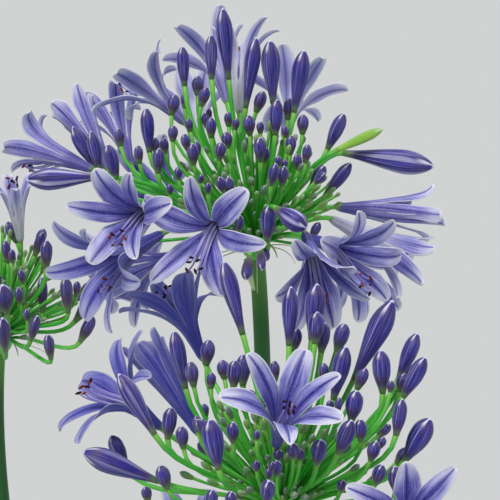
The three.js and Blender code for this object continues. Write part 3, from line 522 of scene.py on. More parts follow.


# A head's buds are rows of the same place and direction, then length and radius; the tiny ones are too fine
# for the solids. white says how far the numbered flower takes that colour; blue how far it takes painted
# shade, darker and bluer, as it lies in shade; pale how far it is paler, partly its own colour and partly
# painted light through tepals lit from behind. bold, green and young say how far the numbered bud has pale
# stripes, is a green capsule or looks young.
upperHead = {
    "shoot": 0, "tip": (40, 20, 850), "bow": (16, 0), "bold": {0: 0.6, 1: 1.0, 14: 0.8}, "green": {15: 1},
    # blue: painted shade on the flowers that lie in shade
    "young": {12: 0.7, 38: 0.8, 39: 1.5, 42: 1.5}, "blue": {2: 0.35}, "white": {9: 1.0, 14: 0.6, 7: 0.8},
    # pale: partly the flowers' paler colour, partly painted light through tepals lit from behind
    "pale": {3: 0.12, 4: 0.15, 5: 0.25, 6: 0.55, 7: 0.65, 8: 0.8, 9: 0.95, 10: 0.85, 11: 0.15},
    "bracts": [
        [(1, 0, -8), (4, 3.5, -14), (8.5, 1, -16), (10, -5.5, -15)],
        [(-5, -6, -8), (-5, -10, -12), (-3, -13, -13), (-1, -21, -13)],
    ],
    "flowers": [
        bloom(-15, 11, -60, 213, 68, 70, 1, curl=0.8, spreads=(0.74, 1.4, 0.95, 0.9, 0.98, 1.11),
              bends=(-6, -5, 0, 5, 7, 0)),
        bloom(-46, 16, -54, 193, 66, 46, 0.76, curl=1.2, spreads=(0.75, 0.97, 0.77, 1.17, 0.67, 1.21),
              bends=(2, -2, -5, -2, 2, 7)),
        bloom(-43, 6, -34, 210, 30, 35, 0.89, curl=1.4, long=1.25, spreads=(1, 1, 0.87, 1, 0.82, 1.37),
              bends=(0, -1, 1, 0, 1, -1)),
        bloom(-77, 36, -7, 158, -28, 106, 0.92, curl=3, long=0.95, slim=0.95, hook=58,
              spreads=(0.9, 1.01, 0.91, 0.43, 1.19, 1.12), bends=(4, 7, -4, -6, -2, 2)),
        bloom(-71, 37, 14, 121, -38, 32, 0.15, curl=1.9, spreads=(0.6, 0.3, 0.6, 0.6, 0.3, 0.8),
              bends=(1, 1, 3, 0, -2, -2)),
        bloom(-62, 40, 52, 108, -35, 13, 0.9, curl=1.2, slim=0.85, hook=90,
              spreads=(1.3, 0.3, 0.4, 0.5, 0.9, 0.3), bends=(0, 4, 3, -4, 0, -1)),
        bloom(-34, 59, 15, 134, -17, 36, 1, curl=0.95, slim=0.8, spreads=(1.5, 0.51, 1.08, 1.17, 0.93, 1.1),
              bends=(-5, 5, -4, 0, -1, 5)),
        bloom(-28, 50, 56, 100, -50, 44, 0.35, curl=1.6),
        bloom(-14, 70, 36, 103, -34, 89, 0.9, curl=0.87, long=1.05, slim=0.94, hook=18,
              spreads=(0.25, 0.36, 0.46, 0.82, 1.37, 0.63), bends=(6, 4, -7, -5, 2, -4)),
        bloom(-8, 64, 15, 92, -21, 30, 0.93, curl=2.1, slim=0.62,
              spreads=(0.94, 0.97, 0.61, 0.39, 0.15, 1.4), bends=(5, -5, 6, -3, -7, 6)),
        bloom(14, 53, 34, 77, -36, 24, 1, curl=0.88, slim=0.85, spreads=(1.28, 0.75, 0.94, 1.4, 1, 0.75),
              bends=(-4, 2, 3, -3, 0, 4)),
        bloom(39, 19, 22, 356, -24, 42, 0.3, curl=3, long=1.1, hook=50,
              spreads=(0.35, 0.3, 0.4, 1.1, 0.4, 0.75), bends=(-6, -3, 5, -4, -4, 5)),
        bloom(25, 4, -32, 336, 44, 74, 1, curl=1.2, spreads=(1, 0.79, 1.39, 0.62, 0.96, 1.17),
              bends=(0, 7, 3, 5, 1, -7)),
        bloom(22, 6, -54, 288, 48, 8, 0.83, curl=1, spreads=(1.23, 0.74, 0.7, 0.95, 0.45, 0.5),
              bends=(2, 2, 0, -5, 0, 0)),
        bloom(35, 13, -8, 334, -19, 19, 0.56, curl=1.8, long=1.1,
              spreads=(0.91, 0.97, 0.8, 1.16, 0.35, 0.4), bends=(2, -1, 0, -1, 0, 0)),
        bloom(-34, 20, 66, 150, -50, 12, 0.9),
        bloom(-40, -4, 64, 200, -45, 45, 0.9),
        bloom(36, -2, 60, 335, -45, 20, 0.9),
    ],
    "buds": [
        (41, 44, -8, 352, 10, 44, 6), (-73, 32, -28, 183, 10, 34, 5.3), (-13, 79, -4, 95, 8, 34, 4.3),
        (-21, 79, -6, 91, 8, 21, 3.1), (-34, 76, -2, 93, 8, 19, 3.1), (-5, 65, -12, 81, 10, 34, 3.9),
        (8, 67, -14, 93, 10, 30, 4.7), (18, 63, -10, 81, 8, 30, 4.4), (-50, 44, -18, 94, 8, 21, 3.3),
        (-65, 31, -26, 104, 8, 17, 3.5), (-76, 37, 2, 121, 2, 23, 3.8), (34, 46, 0, 65, 6, 19, 3.4),
        (33, 24, 0, 51, 6, 20, 3.2), (5, 2, -50, 87, 12, 17, 3.7), (9, 17, -60, 324, 22, 18, 4.8),
        (38, 45, -16, 25, 8, 24, 2.4), (-40, 62, -8, 79, 4, 10, 3.1), (-28, 72, 4, 87, -2, 9.5, 3),
        (-26, 66, -12, 72, 6, 9.5, 2.8), (-39, 49, -24, 86, 12, 7.5, 2.5), (-21, 51, -18, 90, 10, 9.5, 2.6),
        (-13, 57, 0, 90, 0, 7, 2.3), (-3, 52, -20, 93, 12, 9.5, 3.1), (0, 64, 6, 69, -2, 11, 3),
        (9, 52, -18, 87, 10, 17, 3.3), (15, 60, -4, 85, 2, 10.5, 2.6), (22, 53, -6, 87, 4, 9.5, 2.9),
        (-17, 40, -36, 83, 22, 8.5, 2.8), (-13, 46, -26, 98, 16, 7.5, 2.7), (2, 39, -34, 92, 22, 12, 3),
        (16, 43, -22, 87, 14, 9, 2.7), (23, 39, -22, 81, 14, 9, 2.3), (7, 28, -42, 79, 30, 11.5, 2.6),
        (-29, 38, -30, 93, 18, 10, 2.9), (-46, 34, -22, 86, 12, 12, 2.8), (-55, 39, -14, 93, 6, 8.5, 2.3),
        (-12, 24, -46, 97, 32, 9, 2.6), (-65, 48, 10, 96, -4, 8.5, 2.6), (26, 28, -12, 56, 10, 12, 2.9),
        (-3, -5, -46, 260, 46, 15, 2.7), (-74, 36, -6, 103, 6, 19, 3.2), (-32, 45, -28, 101, 14, 7.5, 2.4),
        (2, -2, -42, 273, 48, 14, 2.2), (12, 28, -38, 84, 28, 10, 2.5), (26, 4, -16, 62, 18, 8.5, 2.3),
        (-8, 7, -40, 86, 42, 9.5, 2.3),
    ],
    "tiny": [
        (-34, 66, 6, 90, -2, 7.5, 2.2), (-47, 44, -16, 94, 8, 7, 2.1), (-43, 44, -10, 94, 6, 7, 2.2),
        (-27, 43, -24, 99, 14, 6, 1.9), (-23, 56, -8, 102, 4, 7, 2.1), (-15, 25, -48, 106, 32, 8, 2.3),
        (-36, 31, -34, 90, 20, 5.5, 1.9), (4, 39, -30, 82, 20, 7, 2.1), (14, 51, -18, 95, 10, 5.5, 1.9),
        (20, 36, -22, 98, 16, 7.5, 2.2), (10, 37, -34, 84, 24, 5, 1.7), (13, 36, -30, 84, 22, 4.5, 1.7),
        (2, 53, -16, 90, 10, 5.5, 1.9), (-10, 55, -8, 80, 4, 5.5, 1.9), (4, 0, -38, 277, 46, 10.5, 1.9),
        (-26, 29, -40, 77, 26, 4.5, 1.5), (-22, 24, -50, 90, 32, 5.5, 1.6), (-40, 24, -30, 90, 18, 5, 1.7),
        (-22, 60, -4, 95, 2, 5.5, 1.5), (-31, 54, -16, 99, 8, 6, 2),
    ],
    "spiral": {"count": 20, "seed": 5, "elevation": (82, -6), "reach": (44, 62), "length": (6.5, 10.5)},
}
lowerHead = {
    "shoot": 1, "tip": (51, -117, 775), "bow": (0, -8), "bold": {0: 0.35, 1: 0.35}, "green": {},
    # blue: painted shade on the flowers that lie in shade
    "young": {9: 0.6, 25: 1.0, 27: 0.9}, "blue": {1: 0.55, 2: 0.75, 3: 0.55}, "white": {}, "pale": {},
    "bracts": [
        [(-2, -1, -7), (-7, 2, -12), (-11, -2, -14), (-10, -8, -12)],
    ],
    "flowers": [
        bloom(-3, 33, -44, 80, 51, 116, 0.88, curl=1.27, spreads=(0.72, 0.99, 0.73, 1.21, 0.95, 0.97),
              bends=(0, -3, 0, -7, 6, 6)),
        bloom(-52, 38, -5, 139, 15, 18, 1, curl=0.87, spreads=(1.32, 0.87, 1.05, 0.96, 1.15, 1.22),
              bends=(6, 1, 6, 0, -5, -7)),
        bloom(-35, 65, 56, 114, -9, 81, 0.8, curl=0.8, spreads=(0.6, 1.42, 0.59, 1, 0.96, 1.03),
              bends=(0, 3, 0, 0, -3, -1)),
        bloom(-36, 34, 12, 122, -10, 58, 0.1, curl=2, hook=10, spreads=(0.85, 0.76, 1, 0.82, 0.77, 1),
              bends=(-5, 5, 0, -5, 3, -1)),
        bloom(50, 2, -32, 67, 80, 35, 0.84, curl=1.1, spreads=(1, 1, 0.88, 0.65, 1.24, 1),
              bends=(0, 0, 2, -1, -2, 0)),
        bloom(-46, -26, -40, 225, 30, 15, 0.9),
        bloom(6, -30, -52, 268, 40, 40, 0.95),
        bloom(-20, -16, 64, 190, -45, 20, 0.9),
        bloom(30, -18, 60, 340, -40, 5, 0.9),
    ],
    "buds": [
        (-54, 38, -38, 120, 8, 30, 4.2), (-53, 17, -24, 158, 10, 35, 5.2), (-42, 55, 2, 101, 6, 26, 3.6),
        (-33, 65, 8, 83, 6, 11.5, 3.3), (-17, 79, -10, 105, 6, 33, 4.1), (3, 74, -6, 88, 6, 26, 3.7),
        (13, 76, 4, 84, 2, 25, 4.7), (22, 51, -12, 77, 6, 24, 4.1), (31, 59, -4, 64, 6, 39, 5.4),
        (43, 54, -18, 93, 8, 19, 4), (51, 60, 0, 67, 4, 21, 3.5), (52, 52, -12, 61, 6, 20, 3.6),
        (48, 37, -30, 81, 8, 16, 3.1), (52, 25, -20, 59, 8, 22, 4.8), (-27, 24, -46, 100, 10, 22, 4.6),
        (23, 30, -42, 68, 12, 16, 3.6), (5, 71, 8, 78, -4, 10.5, 2.9), (14, 75, -10, 85, 4, 14, 3.7),
        (17, 71, -4, 82, 2, 13, 3), (24, 71, 6, 72, -2, 13, 3.4), (32, 56, -18, 67, 8, 10, 2.7),
        (51, 54, -6, 75, 2, 8.5, 2.9), (29, 43, -30, 81, 16, 14, 3.8), (33, 35, -34, 93, 20, 10, 2.9),
        (37, 27, -36, 75, 20, 9, 2.9), (49, 24, -16, 53, 10, 8.5, 2.7), (39, 17, -36, 73, 22, 9.5, 3),
        (48, 13, -30, 94, 18, 12, 3.2), (-7, 11, -52, 85, 42, 13, 3.2), (4, 29, -50, 90, 32, 8, 2.7),
        (14, 26, -46, 82, 32, 13, 3.3), (-25, 59, 6, 96, -2, 8.5, 3), (-21, 56, -8, 86, 4, 12, 3.4),
        (-17, 56, 4, 88, -2, 14, 3.4), (-3, 58, 8, 90, -4, 9, 2.4), (-21, 35, -40, 90, 24, 9.5, 2.8),
        (-38, 57, -16, 97, 8, 11, 3), (-49, 14, -26, 106, 14, 11, 3.3), (-42, 32, -34, 95, 18, 10, 2.9),
        (-49, 35, -22, 83, 12, 14, 3.2), (-3, 22, -50, 90, 36, 8, 2.7), (-68, 21, 4, 116, -2, 15, 3.4),
        (18, 59, -10, 90, 6, 8, 2.4), (-22, 7, -42, 87, 34, 9.5, 2.7), (-30, 8, -44, 87, 30, 9, 2.8),
    ],
    "tiny": [
        (24, 15, -44, 80, 32, 5.5, 2.1), (-33, 44, -12, 99, 6, 5.5, 2.1), (-36, 38, -20, 97, 12, 7, 2),
        (-58, 7, -8, 98, 4, 6.5, 2.4), (-2, 28, -44, 90, 32, 5, 2.3), (-11, 24, -50, 96, 34, 5, 1.8),
        (-11, 36, -40, 90, 26, 4.5, 1.6), (7, 28, -46, 85, 32, 5.5, 1.9), (53, 59, 4, 68, -2, 8, 2.6),
        (46, 55, -22, 85, 10, 5, 1.8), (20, 47, -32, 90, 18, 5.5, 1.8), (23, 47, -36, 83, 18, 7, 1.6),
        (-6, 21, -52, 90, 36, 5.5, 1.8), (-31, 55, 4, 86, -2, 7, 2.2), (41, 32, -30, 70, 16, 5, 2.1),
        (-5, 24, -54, 84, 36, 5, 1.6),
    ],
    "spiral": {"count": 18, "seed": 9, "elevation": (80, -4), "reach": (44, 64), "length": (7, 11)},
}
leftHead = {
    "shoot": 2, "tip": (-90, 75, 779), "bow": (-20, 6), "bold": {}, "green": {},
    "young": dict.fromkeys(range(17), 1.2), "blue": {}, "white": {0: 1.0}, "pale": {0: 1.0},
    "bracts": [
        [(2, -1, -7), (6, 3, -12), (10, 0, -14), (11, -7, -13)],
    ],
    "flowers": [
        bloom(12, 50, -12, 95, 24, 10, 0.2, curl=1.2, long=0.62, slim=0.62, hook=95),
        bloom(-48, 30, -18, 160, 20, 30, 0.9),
        bloom(-20, -8, -52, 230, 40, 5, 0.95),
        bloom(-30, 34, 44, 130, -40, 40, 0.9),
        bloom(34, 20, 44, 30, -44, 20, 0.85),
    ],
    "buds": [
        (24, 15, -20, 90, 20, 19, 2.7), (27, 37, -36, 88, 22, 15, 3), (42, 0, -14, 61, 10, 15, 3.1),
        (19, 43, -10, 70, 6, 13, 2.6), (20, 2, -44, 72, 36, 16, 2.7), (8, -4, -48, 90, 44, 24, 3.6),
        (39, 10, -8, 51, 6, 18, 3.6), (30, -7, -46, 95, 30, 14, 2.7), (37, 15, -26, 93, 18, 19, 3.2),
        (8, 15, -40, 96, 38, 18, 4.6), (10, 50, -10, 115, 6, 11.5, 3), (7, 40, -26, 95, 18, 11.5, 2.4),
        (15, 20, -44, 97, 34, 9.5, 2.2),
    ],
    "tiny": [
        (10, 40, -34, 90, 22, 7, 1.9), (19, 12, -50, 95, 36, 6.5, 1.8), (16, 30, -42, 99, 28, 7.5, 1.9),
        (41, 23, -24, 86, 14, 8, 2),
    ],
    "spiral": {"count": 16, "seed": 13, "elevation": (80, -4), "reach": (44, 60), "length": (7, 11)},
}
heads = {"upper": upperHead, "lower": lowerHead, "left": leftHead}
shoots = [
    {"name": "leaf_fan_right", "bearing": 30, "seed": 11},
    {"name": "leaf_fan_front", "bearing": -62, "seed": 23},
    {"name": "leaf_fan_back", "bearing": 128, "seed": 37},
    {"name": "leaf_fan_left", "bearing": 214, "seed": 41},
]
soilLevel = 202
scape = {
    "footRadius": 4.8, "tipRadius": 3.8, "knobRadius": 7, "planted": 26, "circle": 18,
    "straight": 0.35, "bowed": 0.3,
}
pedicel = {
    "radius": 1.15, "youngRadius": 0.9, "innerRadius": 0.666, "thin": 0.55, "swollen": 0.18,
    "upright": 0.3, "leaves": 0.42, "arrives": 0.34, "sharpest": 0.3,
}
innerBuds = {"count": 200, "reach": (22, 58), "length": (3.0, 6.5), "top": 86, "down": 61}
bracteoles = {"count": 9, "length": (16, 30), "radius": 0.28, "droop": 0.3}
bract = {"halfWidth": 1.6, "halfDepth": 0.35}
oldBud = 12  # a bud of this length or more is made finely
bud = {
    "root": 1.25, "rootShare": (0.22, 0.6), "fullAt": (0.52, 0.74), "fullLength": (12, 38), "arch": 2.1,
    "point": 0.76, "end": 0.0015, "crease": 0.06, "bend": (-0.02, 0.05), "slim": 0.24, "youngLength": (22, 8),
    # rows, points to a ring, and where the bud starts to close
    "old": (16, 18, 0.66), "young": (10, 12, 0.58), "small": (7, 9, 0.55),
}
rayClearance, flowerRoom = 9.5, 19

budColours = {
    "body": (62, 56, 160), "dark": (36, 30, 108), "line": (186, 184, 230), "bold": (206, 202, 236),
    "tip": (232, 231, 246), "brown": (84, 62, 92), "foot": (112, 150, 66), "capsule": (150, 204, 78),
}


# A bud's outer tepals meet in three pale seams; their midribs are faint lines between the seams.
def makeBudFinish():
    c = budColours
    f = Finish(
        "bud", Roughness=0.42, Specular_IOR_Level=0.4,
        Sheen_Weight=0.5, Sheen_Roughness=0.35, Sheen_Tint=bloomSheen,
    )
    u, v = f.uv()
    tone, bold, green, young = f.mark("tone"), f.mark("bold"), f.mark("green"), f.mark("young")
    turn = u * fullTurn
    x, y = turn.cos(), (turn + quarterTurn).cos()
    streaks = f.noise(f.vector(x * 3, y * 3, v * 0.7 + tone * 30), 2.4, 3)
    patches = f.noise(f.vector(x, y, v * 2 + tone * 50), 2.0, 2)
    threads = f.noise(f.vector(x * 8, y * 8, v * 0.6 + tone * 40), 2.0, 2)
    threads = threads.over(0.54, 0.64) * v.over(0.1, 0.35) * v.under(0.84, 0.97)
    seams = (turn * 3).cos()
    bands = (turn * 5 + 1).cos().over(0.45, 0.95) * v.over(0.02, 0.2) * v.under(0.9, 0.98)
    lower = v.under(0.14 + 0.16 * young, 0.34 + 0.36 * young)
    return f.paint(f.coats(
        c["body"],
        (c["dark"], streaks.over(0.38, 0.62)),
        (c["brown"], patches.over(0.45, 0.75) * (0.25 + 0.5 * young)),
        (c["line"], seams.over(0.975, 1.0) * v.over(0.08, 0.4) * (0.2 + 0.5 * tone)),
        (c["line"], threads * 0.4),
        (c["bold"], bands * bold * (0.95 - 0.4 * streaks.over(0.45, 0.6))),
        (c["brown"], v.over(0.72, 0.86) * v.under(0.9, 0.98) * 0.4),
        (c["brown"], lower * (0.5 + 0.35 * young)),
        (c["foot"], v.under(0.0, 0.18 + 0.18 * young) * 0.85),
        (c["capsule"], green),
        (c["tip"], seams.over(0.7, 0.97) * v.over(0.78, 0.9) * 0.85),
        (c["tip"], v.over(0.965, 0.99) * 0.9),
    ), relief=streaks * 0.0003 + threads * 0.0002)


def makeStalkFinish():
    f = Finish(
        "stalk", Roughness=0.42, Specular_IOR_Level=0.4,
        Subsurface_Weight=0.15, Subsurface_Scale=0.003, Subsurface_Radius=(0.5, 1.0, 0.4),
    )
    u, v = f.uv()
    tone = f.mark("tone")
    streaks = f.noise(f.vector((u * fullTurn).cos() * 3, v * 4, tone * 30), 2.0, 2)
    return f.paint(f.coats(
        (40, 162, 48),
        ((120, 224, 92), tone * 0.8 + streaks * 0.9 - 0.4),
        ((138, 182, 76), v.over(0.86, 1.0) * 0.5),
        # painted light: lighter near the knob, against the shade among the crowded pedicels
        ((140, 214, 96), v.under(0.0, 0.25) * 0.5),
        ((206, 208, 168), f.mark("dry")),
    ), relief=streaks * 0.0001)


def makeScapeFinish():
    f = Finish("scape", Roughness=0.45, Specular_IOR_Level=0.4)
    u, v = f.uv()
    turn = u * fullTurn
    lines = f.noise(f.vector(turn.cos() * 8, v * 3, (turn + quarterTurn).cos() * 8), 1.8, 3)
    clouds = f.noise(f.place(), 30, 3)
    return f.paint(f.coats(
        (20, 76, 34),
        ((44, 108, 46), lines * 0.6 + clouds * 0.6 - 0.1),
        ((96, 160, 66), v.over(0.93, 1.0)),
    ), roughness=0.35 + clouds * 0.2, relief=lines * 0.0003)


# A bud swells smoothly from its pedicel, a long one later than a short one, and past its widest place closes
# in a pointed arch; it bends a little, and is creased where its tepals meet.
def makeBuds(foot, axis, length, radius, rows, sides, widest, fine, **marks):
    v = np.linspace(0, 1, rows)
    v = (np.sin(v * np.pi / 2) + v) * 0.495  # rows come closer towards the point
    base = np.clip(bud["root"] / radius, *bud["rootShare"])[:, None]
    full = between(*bud["fullAt"], smooth(length, *bud["fullLength"]))[:, None]
    swell = between(base, 1, smooth(v, -0.08, full))
    past = np.clip(v - widest, 0, 1) / (1 - widest)
    close = np.clip(1 - past ** bud["arch"], bud["end"], 1) ** bud["point"]
    size = (radius[:, None] * swell * close)[..., None]
    crease = 1 - bud["crease"] * (np.arange(sides) % (sides // 3) == 0) * smooth(v, 0.05, 0.4)[:, None]
    up = upward - axis * axis[:, 2:]
    bow = up * (fine.uniform(*bud["bend"], len(foot)) * length)[:, None]
    path = foot[:, None] + axis[:, None] * (v * length[:, None])[..., None] + bow[:, None] * (v * v)[:, None]
    _, x, y = ring(sides)
    points = carried(path, size * x * crease, size * y * crease)
    poles = np.stack([path[:, 0] - axis * 0.2, path[:, -1] + axis * length[:, None] * 0.012], 1)
    return tubes(points, np.r_[0, v, 1], None, poles, **marks)


# A pedicel leaves the knob a little upright and arrives in line with what it carries.
def makePedicels(tip, foot, axis, thick, tone):
    reach = np.linalg.norm(foot - tip, axis=-1, keepdims=True)
    away = unit(unit(foot - tip) + upward * pedicel["upright"])
    inLine = np.maximum(pedicel["sharpest"], (away * axis).sum(-1, keepdims=True))
    start, leaves = tip + away * 0.75 * scape["knobRadius"], tip + away * pedicel["leaves"] * reach
    path = bezier(start, leaves, foot - axis * pedicel["arrives"] * inLine * reach, foot, 10)
    share = np.linspace(0, 1, 10)
    taper = between(pedicel["thin"], 1, np.sqrt(share)) * (1 + pedicel["swollen"] * smooth(share, 0.86, 1.0))
    return rods(path, thick[:, None] * taper, 7, tone=tone[:, None, None])


# The small buds that the solids also hold: a golden-angle spiral with the same draws and the same gaps.
def spiralBuds(head, tip, flowerFeet, flowerAxes, rays):
    spiral = head["spiral"]
    draw = Draw(spiral["seed"])
    kept = []
    for i in range(spiral["count"]):
        share = (i + 0.5) / spiral["count"]
        elevation = between(*spiral["elevation"], share ** 0.75) + 6 * (draw() - 0.5)
        bearing = i * goldenAngle + 10 * (draw() - 0.5)
        far = between(*spiral["reach"], 0.35 * share + 0.65 * draw())
        size = between(*spiral["length"], draw())
        axis = direction(np.radians(bearing), np.radians(elevation))
        foot = tip + axis * far
        end = foot + axis * size
        apart = np.degrees(np.arccos(np.clip(rays @ axis, -1, 1)))
        bell = np.clip(((end - flowerFeet) * flowerAxes).sum(-1), 0, tube["length"] + tepal["length"])
        room = np.linalg.norm(end - flowerFeet - flowerAxes * bell[:, None], axis=-1)
        if apart.min() > rayClearance and room.min() > flowerRoom:
            kept.append((*foot, *axis, size, bud["slim"] * size + 0.5))
    kept = np.array(kept)
    return kept[:, :3], kept[:, 3:6], kept[:, 6], kept[:, 7]


# The youngest buds, close over the knob, on a spiral of the same kind.
def innerSpiral(tip, fine):
    count = innerBuds["count"]
    i = np.arange(count)
    share = (i + 0.5) / count
    elevation = np.radians(innerBuds["top"] - innerBuds["down"] * share ** 0.8 + fine.uniform(-6, 6, count))
    bearing = np.radians(i * goldenAngle + fine.uniform(-12, 12, count))
    axis = direction(bearing, elevation)
    far = fine.uniform(*innerBuds["reach"], count) * (0.55 + 0.45 * np.sin(elevation))
    length = fine.uniform(*innerBuds["length"], count)
    return tip + axis * far[:, None], axis, length, 0.2 * length + 0.35


# Dry threads that stand between the pedicels.
def makeThreads(tip, fine):
    n = bracteoles["count"]
    way = unit(np.stack([fine.uniform(-1, 1, n), fine.uniform(-1, 1, n), fine.uniform(-0.35, 0.8, n)], -1))
    long = fine.uniform(*bracteoles["length"], (n, 1))
    start = tip + way * 5
    end = start + way * long - upward * long * bracteoles["droop"]
    path = bezier(start, start + way * long * 0.4, start + way * long * 0.8, end, 10)
    return rods(path, bracteoles["radius"] * np.linspace(1.2, 0.5, 10), 5, dry=1.0, tone=0.5)


# Curled strips of the withered sheath under the knob: a flat oval section carried along a bent path.
def makeStrips(tip, bends):
    path = bezier(*(leaning(bends) + tip).swapaxes(0, 1), 14)
    along = np.linspace(0, 1, 14)
    taper = between(0.35, 1, np.sin(between(0.1, 3.0, along)))[None, :, None]
    _, x, y = ring(10)
    points = carried(path, taper * bract["halfWidth"] * x, taper * bract["halfDepth"] * y)
    return tubes(points, np.r_[0, along, 1], dry=0.75, tone=0.6)


# The knob is round: rings along the upright line, as wide as a ball is there.
def makeKnob(tip):
    height = np.linspace(-0.95, 0.97, 12)
    swell = scape["knobRadius"] * np.sqrt(1 - height ** 2)
    path = tip + upward * (height * scape["knobRadius"])[:, None]
    return rods(path[None], swell, 24, tone=0.7)


# A scape leaves its shoot upright, bows a little and comes up into the knob, thinner evenly all the way.
def makeScape(name, head, tip):
    stand = onCircle(shoots[head["shoot"]]["bearing"], scape["circle"], soilLevel)
    rise = tip[2] - stand[2]
    path = bezier(
        stand - upward * scape["planted"], stand + upward * scape["straight"] * rise,
        tip + [*head["bow"], -scape["bowed"] * rise], tip, 60,
    )
    radius = np.linspace(scape["footRadius"], scape["tipRadius"], 60)
    build(f"{name}_scape", [rods(path[None], radius, 24)], ["scape"], "stalk", f"{name}_umbel")


# A flower's first and second directions, square to its axis, are what its turn is measured from.
def makeFlowers(name, head, feet, axes, fine):
    for i, (flower, foot, axis) in enumerate(zip(head["flowers"], feet, axes)):
        colours = {mark: head[mark].get(i, 0.0) for mark in tepalMarks}
        flower = {**flower, **colours, "tone": fine.uniform(0.2, 0.8)}
        first = unit(axis * (headFrame[2] @ axis) - headFrame[2])
        given = (foot, axis, first, np.cross(axis, first), flower, 100 * (head["shoot"] + 1) + i)
        sets, kinds = [makeTepals(*given), *makeStamens(*given)], ["petal", "filament", "anther"]
        build(f"{name}_bloom_{i + 1:02d}", sets, kinds, "petal", f"{name}_flower_{i + 1:02d}")


# placed, small and inner are each the buds' feet, directions, lengths and radii.
def makeHeadBuds(name, head, placed, small, inner, fine):
    lengths = placed[2]
    old = lengths >= oldBud
    marks = {"bold": 0 * lengths, "green": 0 * lengths, "young": smooth(lengths, *bud["youngLength"])}
    for mark, values in marks.items():
        values[list(head[mark])] = list(head[mark].values())
    marks["tone"] = fine.uniform(0, 1, len(lengths))
    sets = []
    for chosen, fineness in ((old, bud["old"]), (~old, bud["young"])):
        own = {mark: values[chosen, None, None] for mark, values in marks.items()}
        sets.append(makeBuds(*(part[chosen] for part in placed), *fineness, fine, **own))
    for some, age, ripening in ((small, 0.8, 0), (inner, 1.2, 1)):
        shade = fine.uniform(0, 1, (len(some[0]), 1, 1))
        unripe = ripening * (0.3 + 0.5 * shade)
        sets.append(makeBuds(*some, *bud["small"], fine, tone=shade, young=age, green=unripe))
    build(f"{name}_buds", sets, ["bud"], "petal", f"{name}_umbel")


# A head is its flowers and buds, the pedicels, threads and strips about the knob, and the scape.
def makeHead(name, head):
    fine = np.random.default_rng(300 + head["shoot"])
    tip = np.array(head["tip"], float)
    flowers = head["flowers"]
    flowerFeet = leaning([flower["foot"] for flower in flowers]) + tip
    flowerAxes = aim([flower["heading"] for flower in flowers], [flower["lean"] for flower in flowers])
    makeFlowers(name, head, flowerFeet, flowerAxes, fine)

    rows = np.array(head["buds"] + head["tiny"], float)
    feet, lengths = leaning(rows[:, :3]) + tip, rows[:, 5]
    placed = (feet, aim(rows[:, 3], rows[:, 4]), lengths, rows[:, 6])
    rays = unit(np.concatenate([flowerFeet, feet[:len(head["buds"])]]) - tip)
    small = spiralBuds(head, tip, flowerFeet, flowerAxes, rays)
    inner = innerSpiral(tip, fine)
    makeHeadBuds(name, head, placed, small, inner, fine)

    groups = [
        (flowerFeet, flowerAxes, pedicel["radius"]),
        (*placed[:2], np.where(lengths >= oldBud, pedicel["radius"], pedicel["youngRadius"])),
        (*small[:2], pedicel["youngRadius"]),
        (*inner[:2], pedicel["innerRadius"]),
    ]
    feet, axes = (np.concatenate([group[k] for group in groups]) for k in (0, 1))
    thick = np.concatenate([np.full(len(group[0]), group[2]) for group in groups])
    stalks = [
        makePedicels(tip, feet, axes, thick, fine.uniform(0, 1, len(feet))),
        makeThreads(tip, fine),
        makeStrips(tip, head["bracts"]),
        makeKnob(tip),
    ]
    build(f"{name}_pedicels", stalks, ["stalk"], "stalk", f"{name}_umbel")
    makeScape(name, head, tip)
    print(name, "head:", len(flowers), "flowers,", len(feet) - len(flowers), "buds")


leaf = {
    "count": 6, "length": 430, "shorter": 120, "halfWidth": 15, "thickness": 1.2, "channel": 0.28,
    "rise": 66, "steeper": 6, "fall": 125, "flatter": 26, "archPower": 1.35, "rankAngle": 38, "closer": 12,
    "firstHeight": 14, "spacing": 12, "uneven": (7, 10, 0.35, 0.25), "twist": 14, "wave": 0.04,
}
neck = {"halfDepth": 10, "halfWidth": 15, "rise": 48, "planted": 26, "taper": 0.7, "circle": 38, "step": 1.3}


def makeLeafFinish():
    f = Finish("leaf", Roughness=0.38, Specular_IOR_Level=0.45)
    u, v = f.uv()
    tone = f.mark("tone")
    across = abs(u * 2 - 1)
    veins = (u * 150).cos()
    streaks = f.noise(f.vector(u * 14, v * 5, tone * 30), 2.0, 3)
    clouds = f.noise(f.place(), 14, 3)
    return f.paint(f.coats(
        (38, 92, 34),
        ((72, 130, 46), streaks * 0.7 + clouds * 0.5 - 0.15 + tone * 0.2),
        ((92, 148, 66), across.under(0.0, 0.12) * 0.55),
        ((30, 74, 32), veins.over(0.2, 1.0) * 0.22),
        ((176, 196, 130), v.under(0.0, 0.09)),
        ((156, 138, 74), v.over(0.975, 1.0) * 0.8),
    ), roughness=0.32 + streaks * 0.2, relief=veins * 0.00008 + streaks * 0.0004)


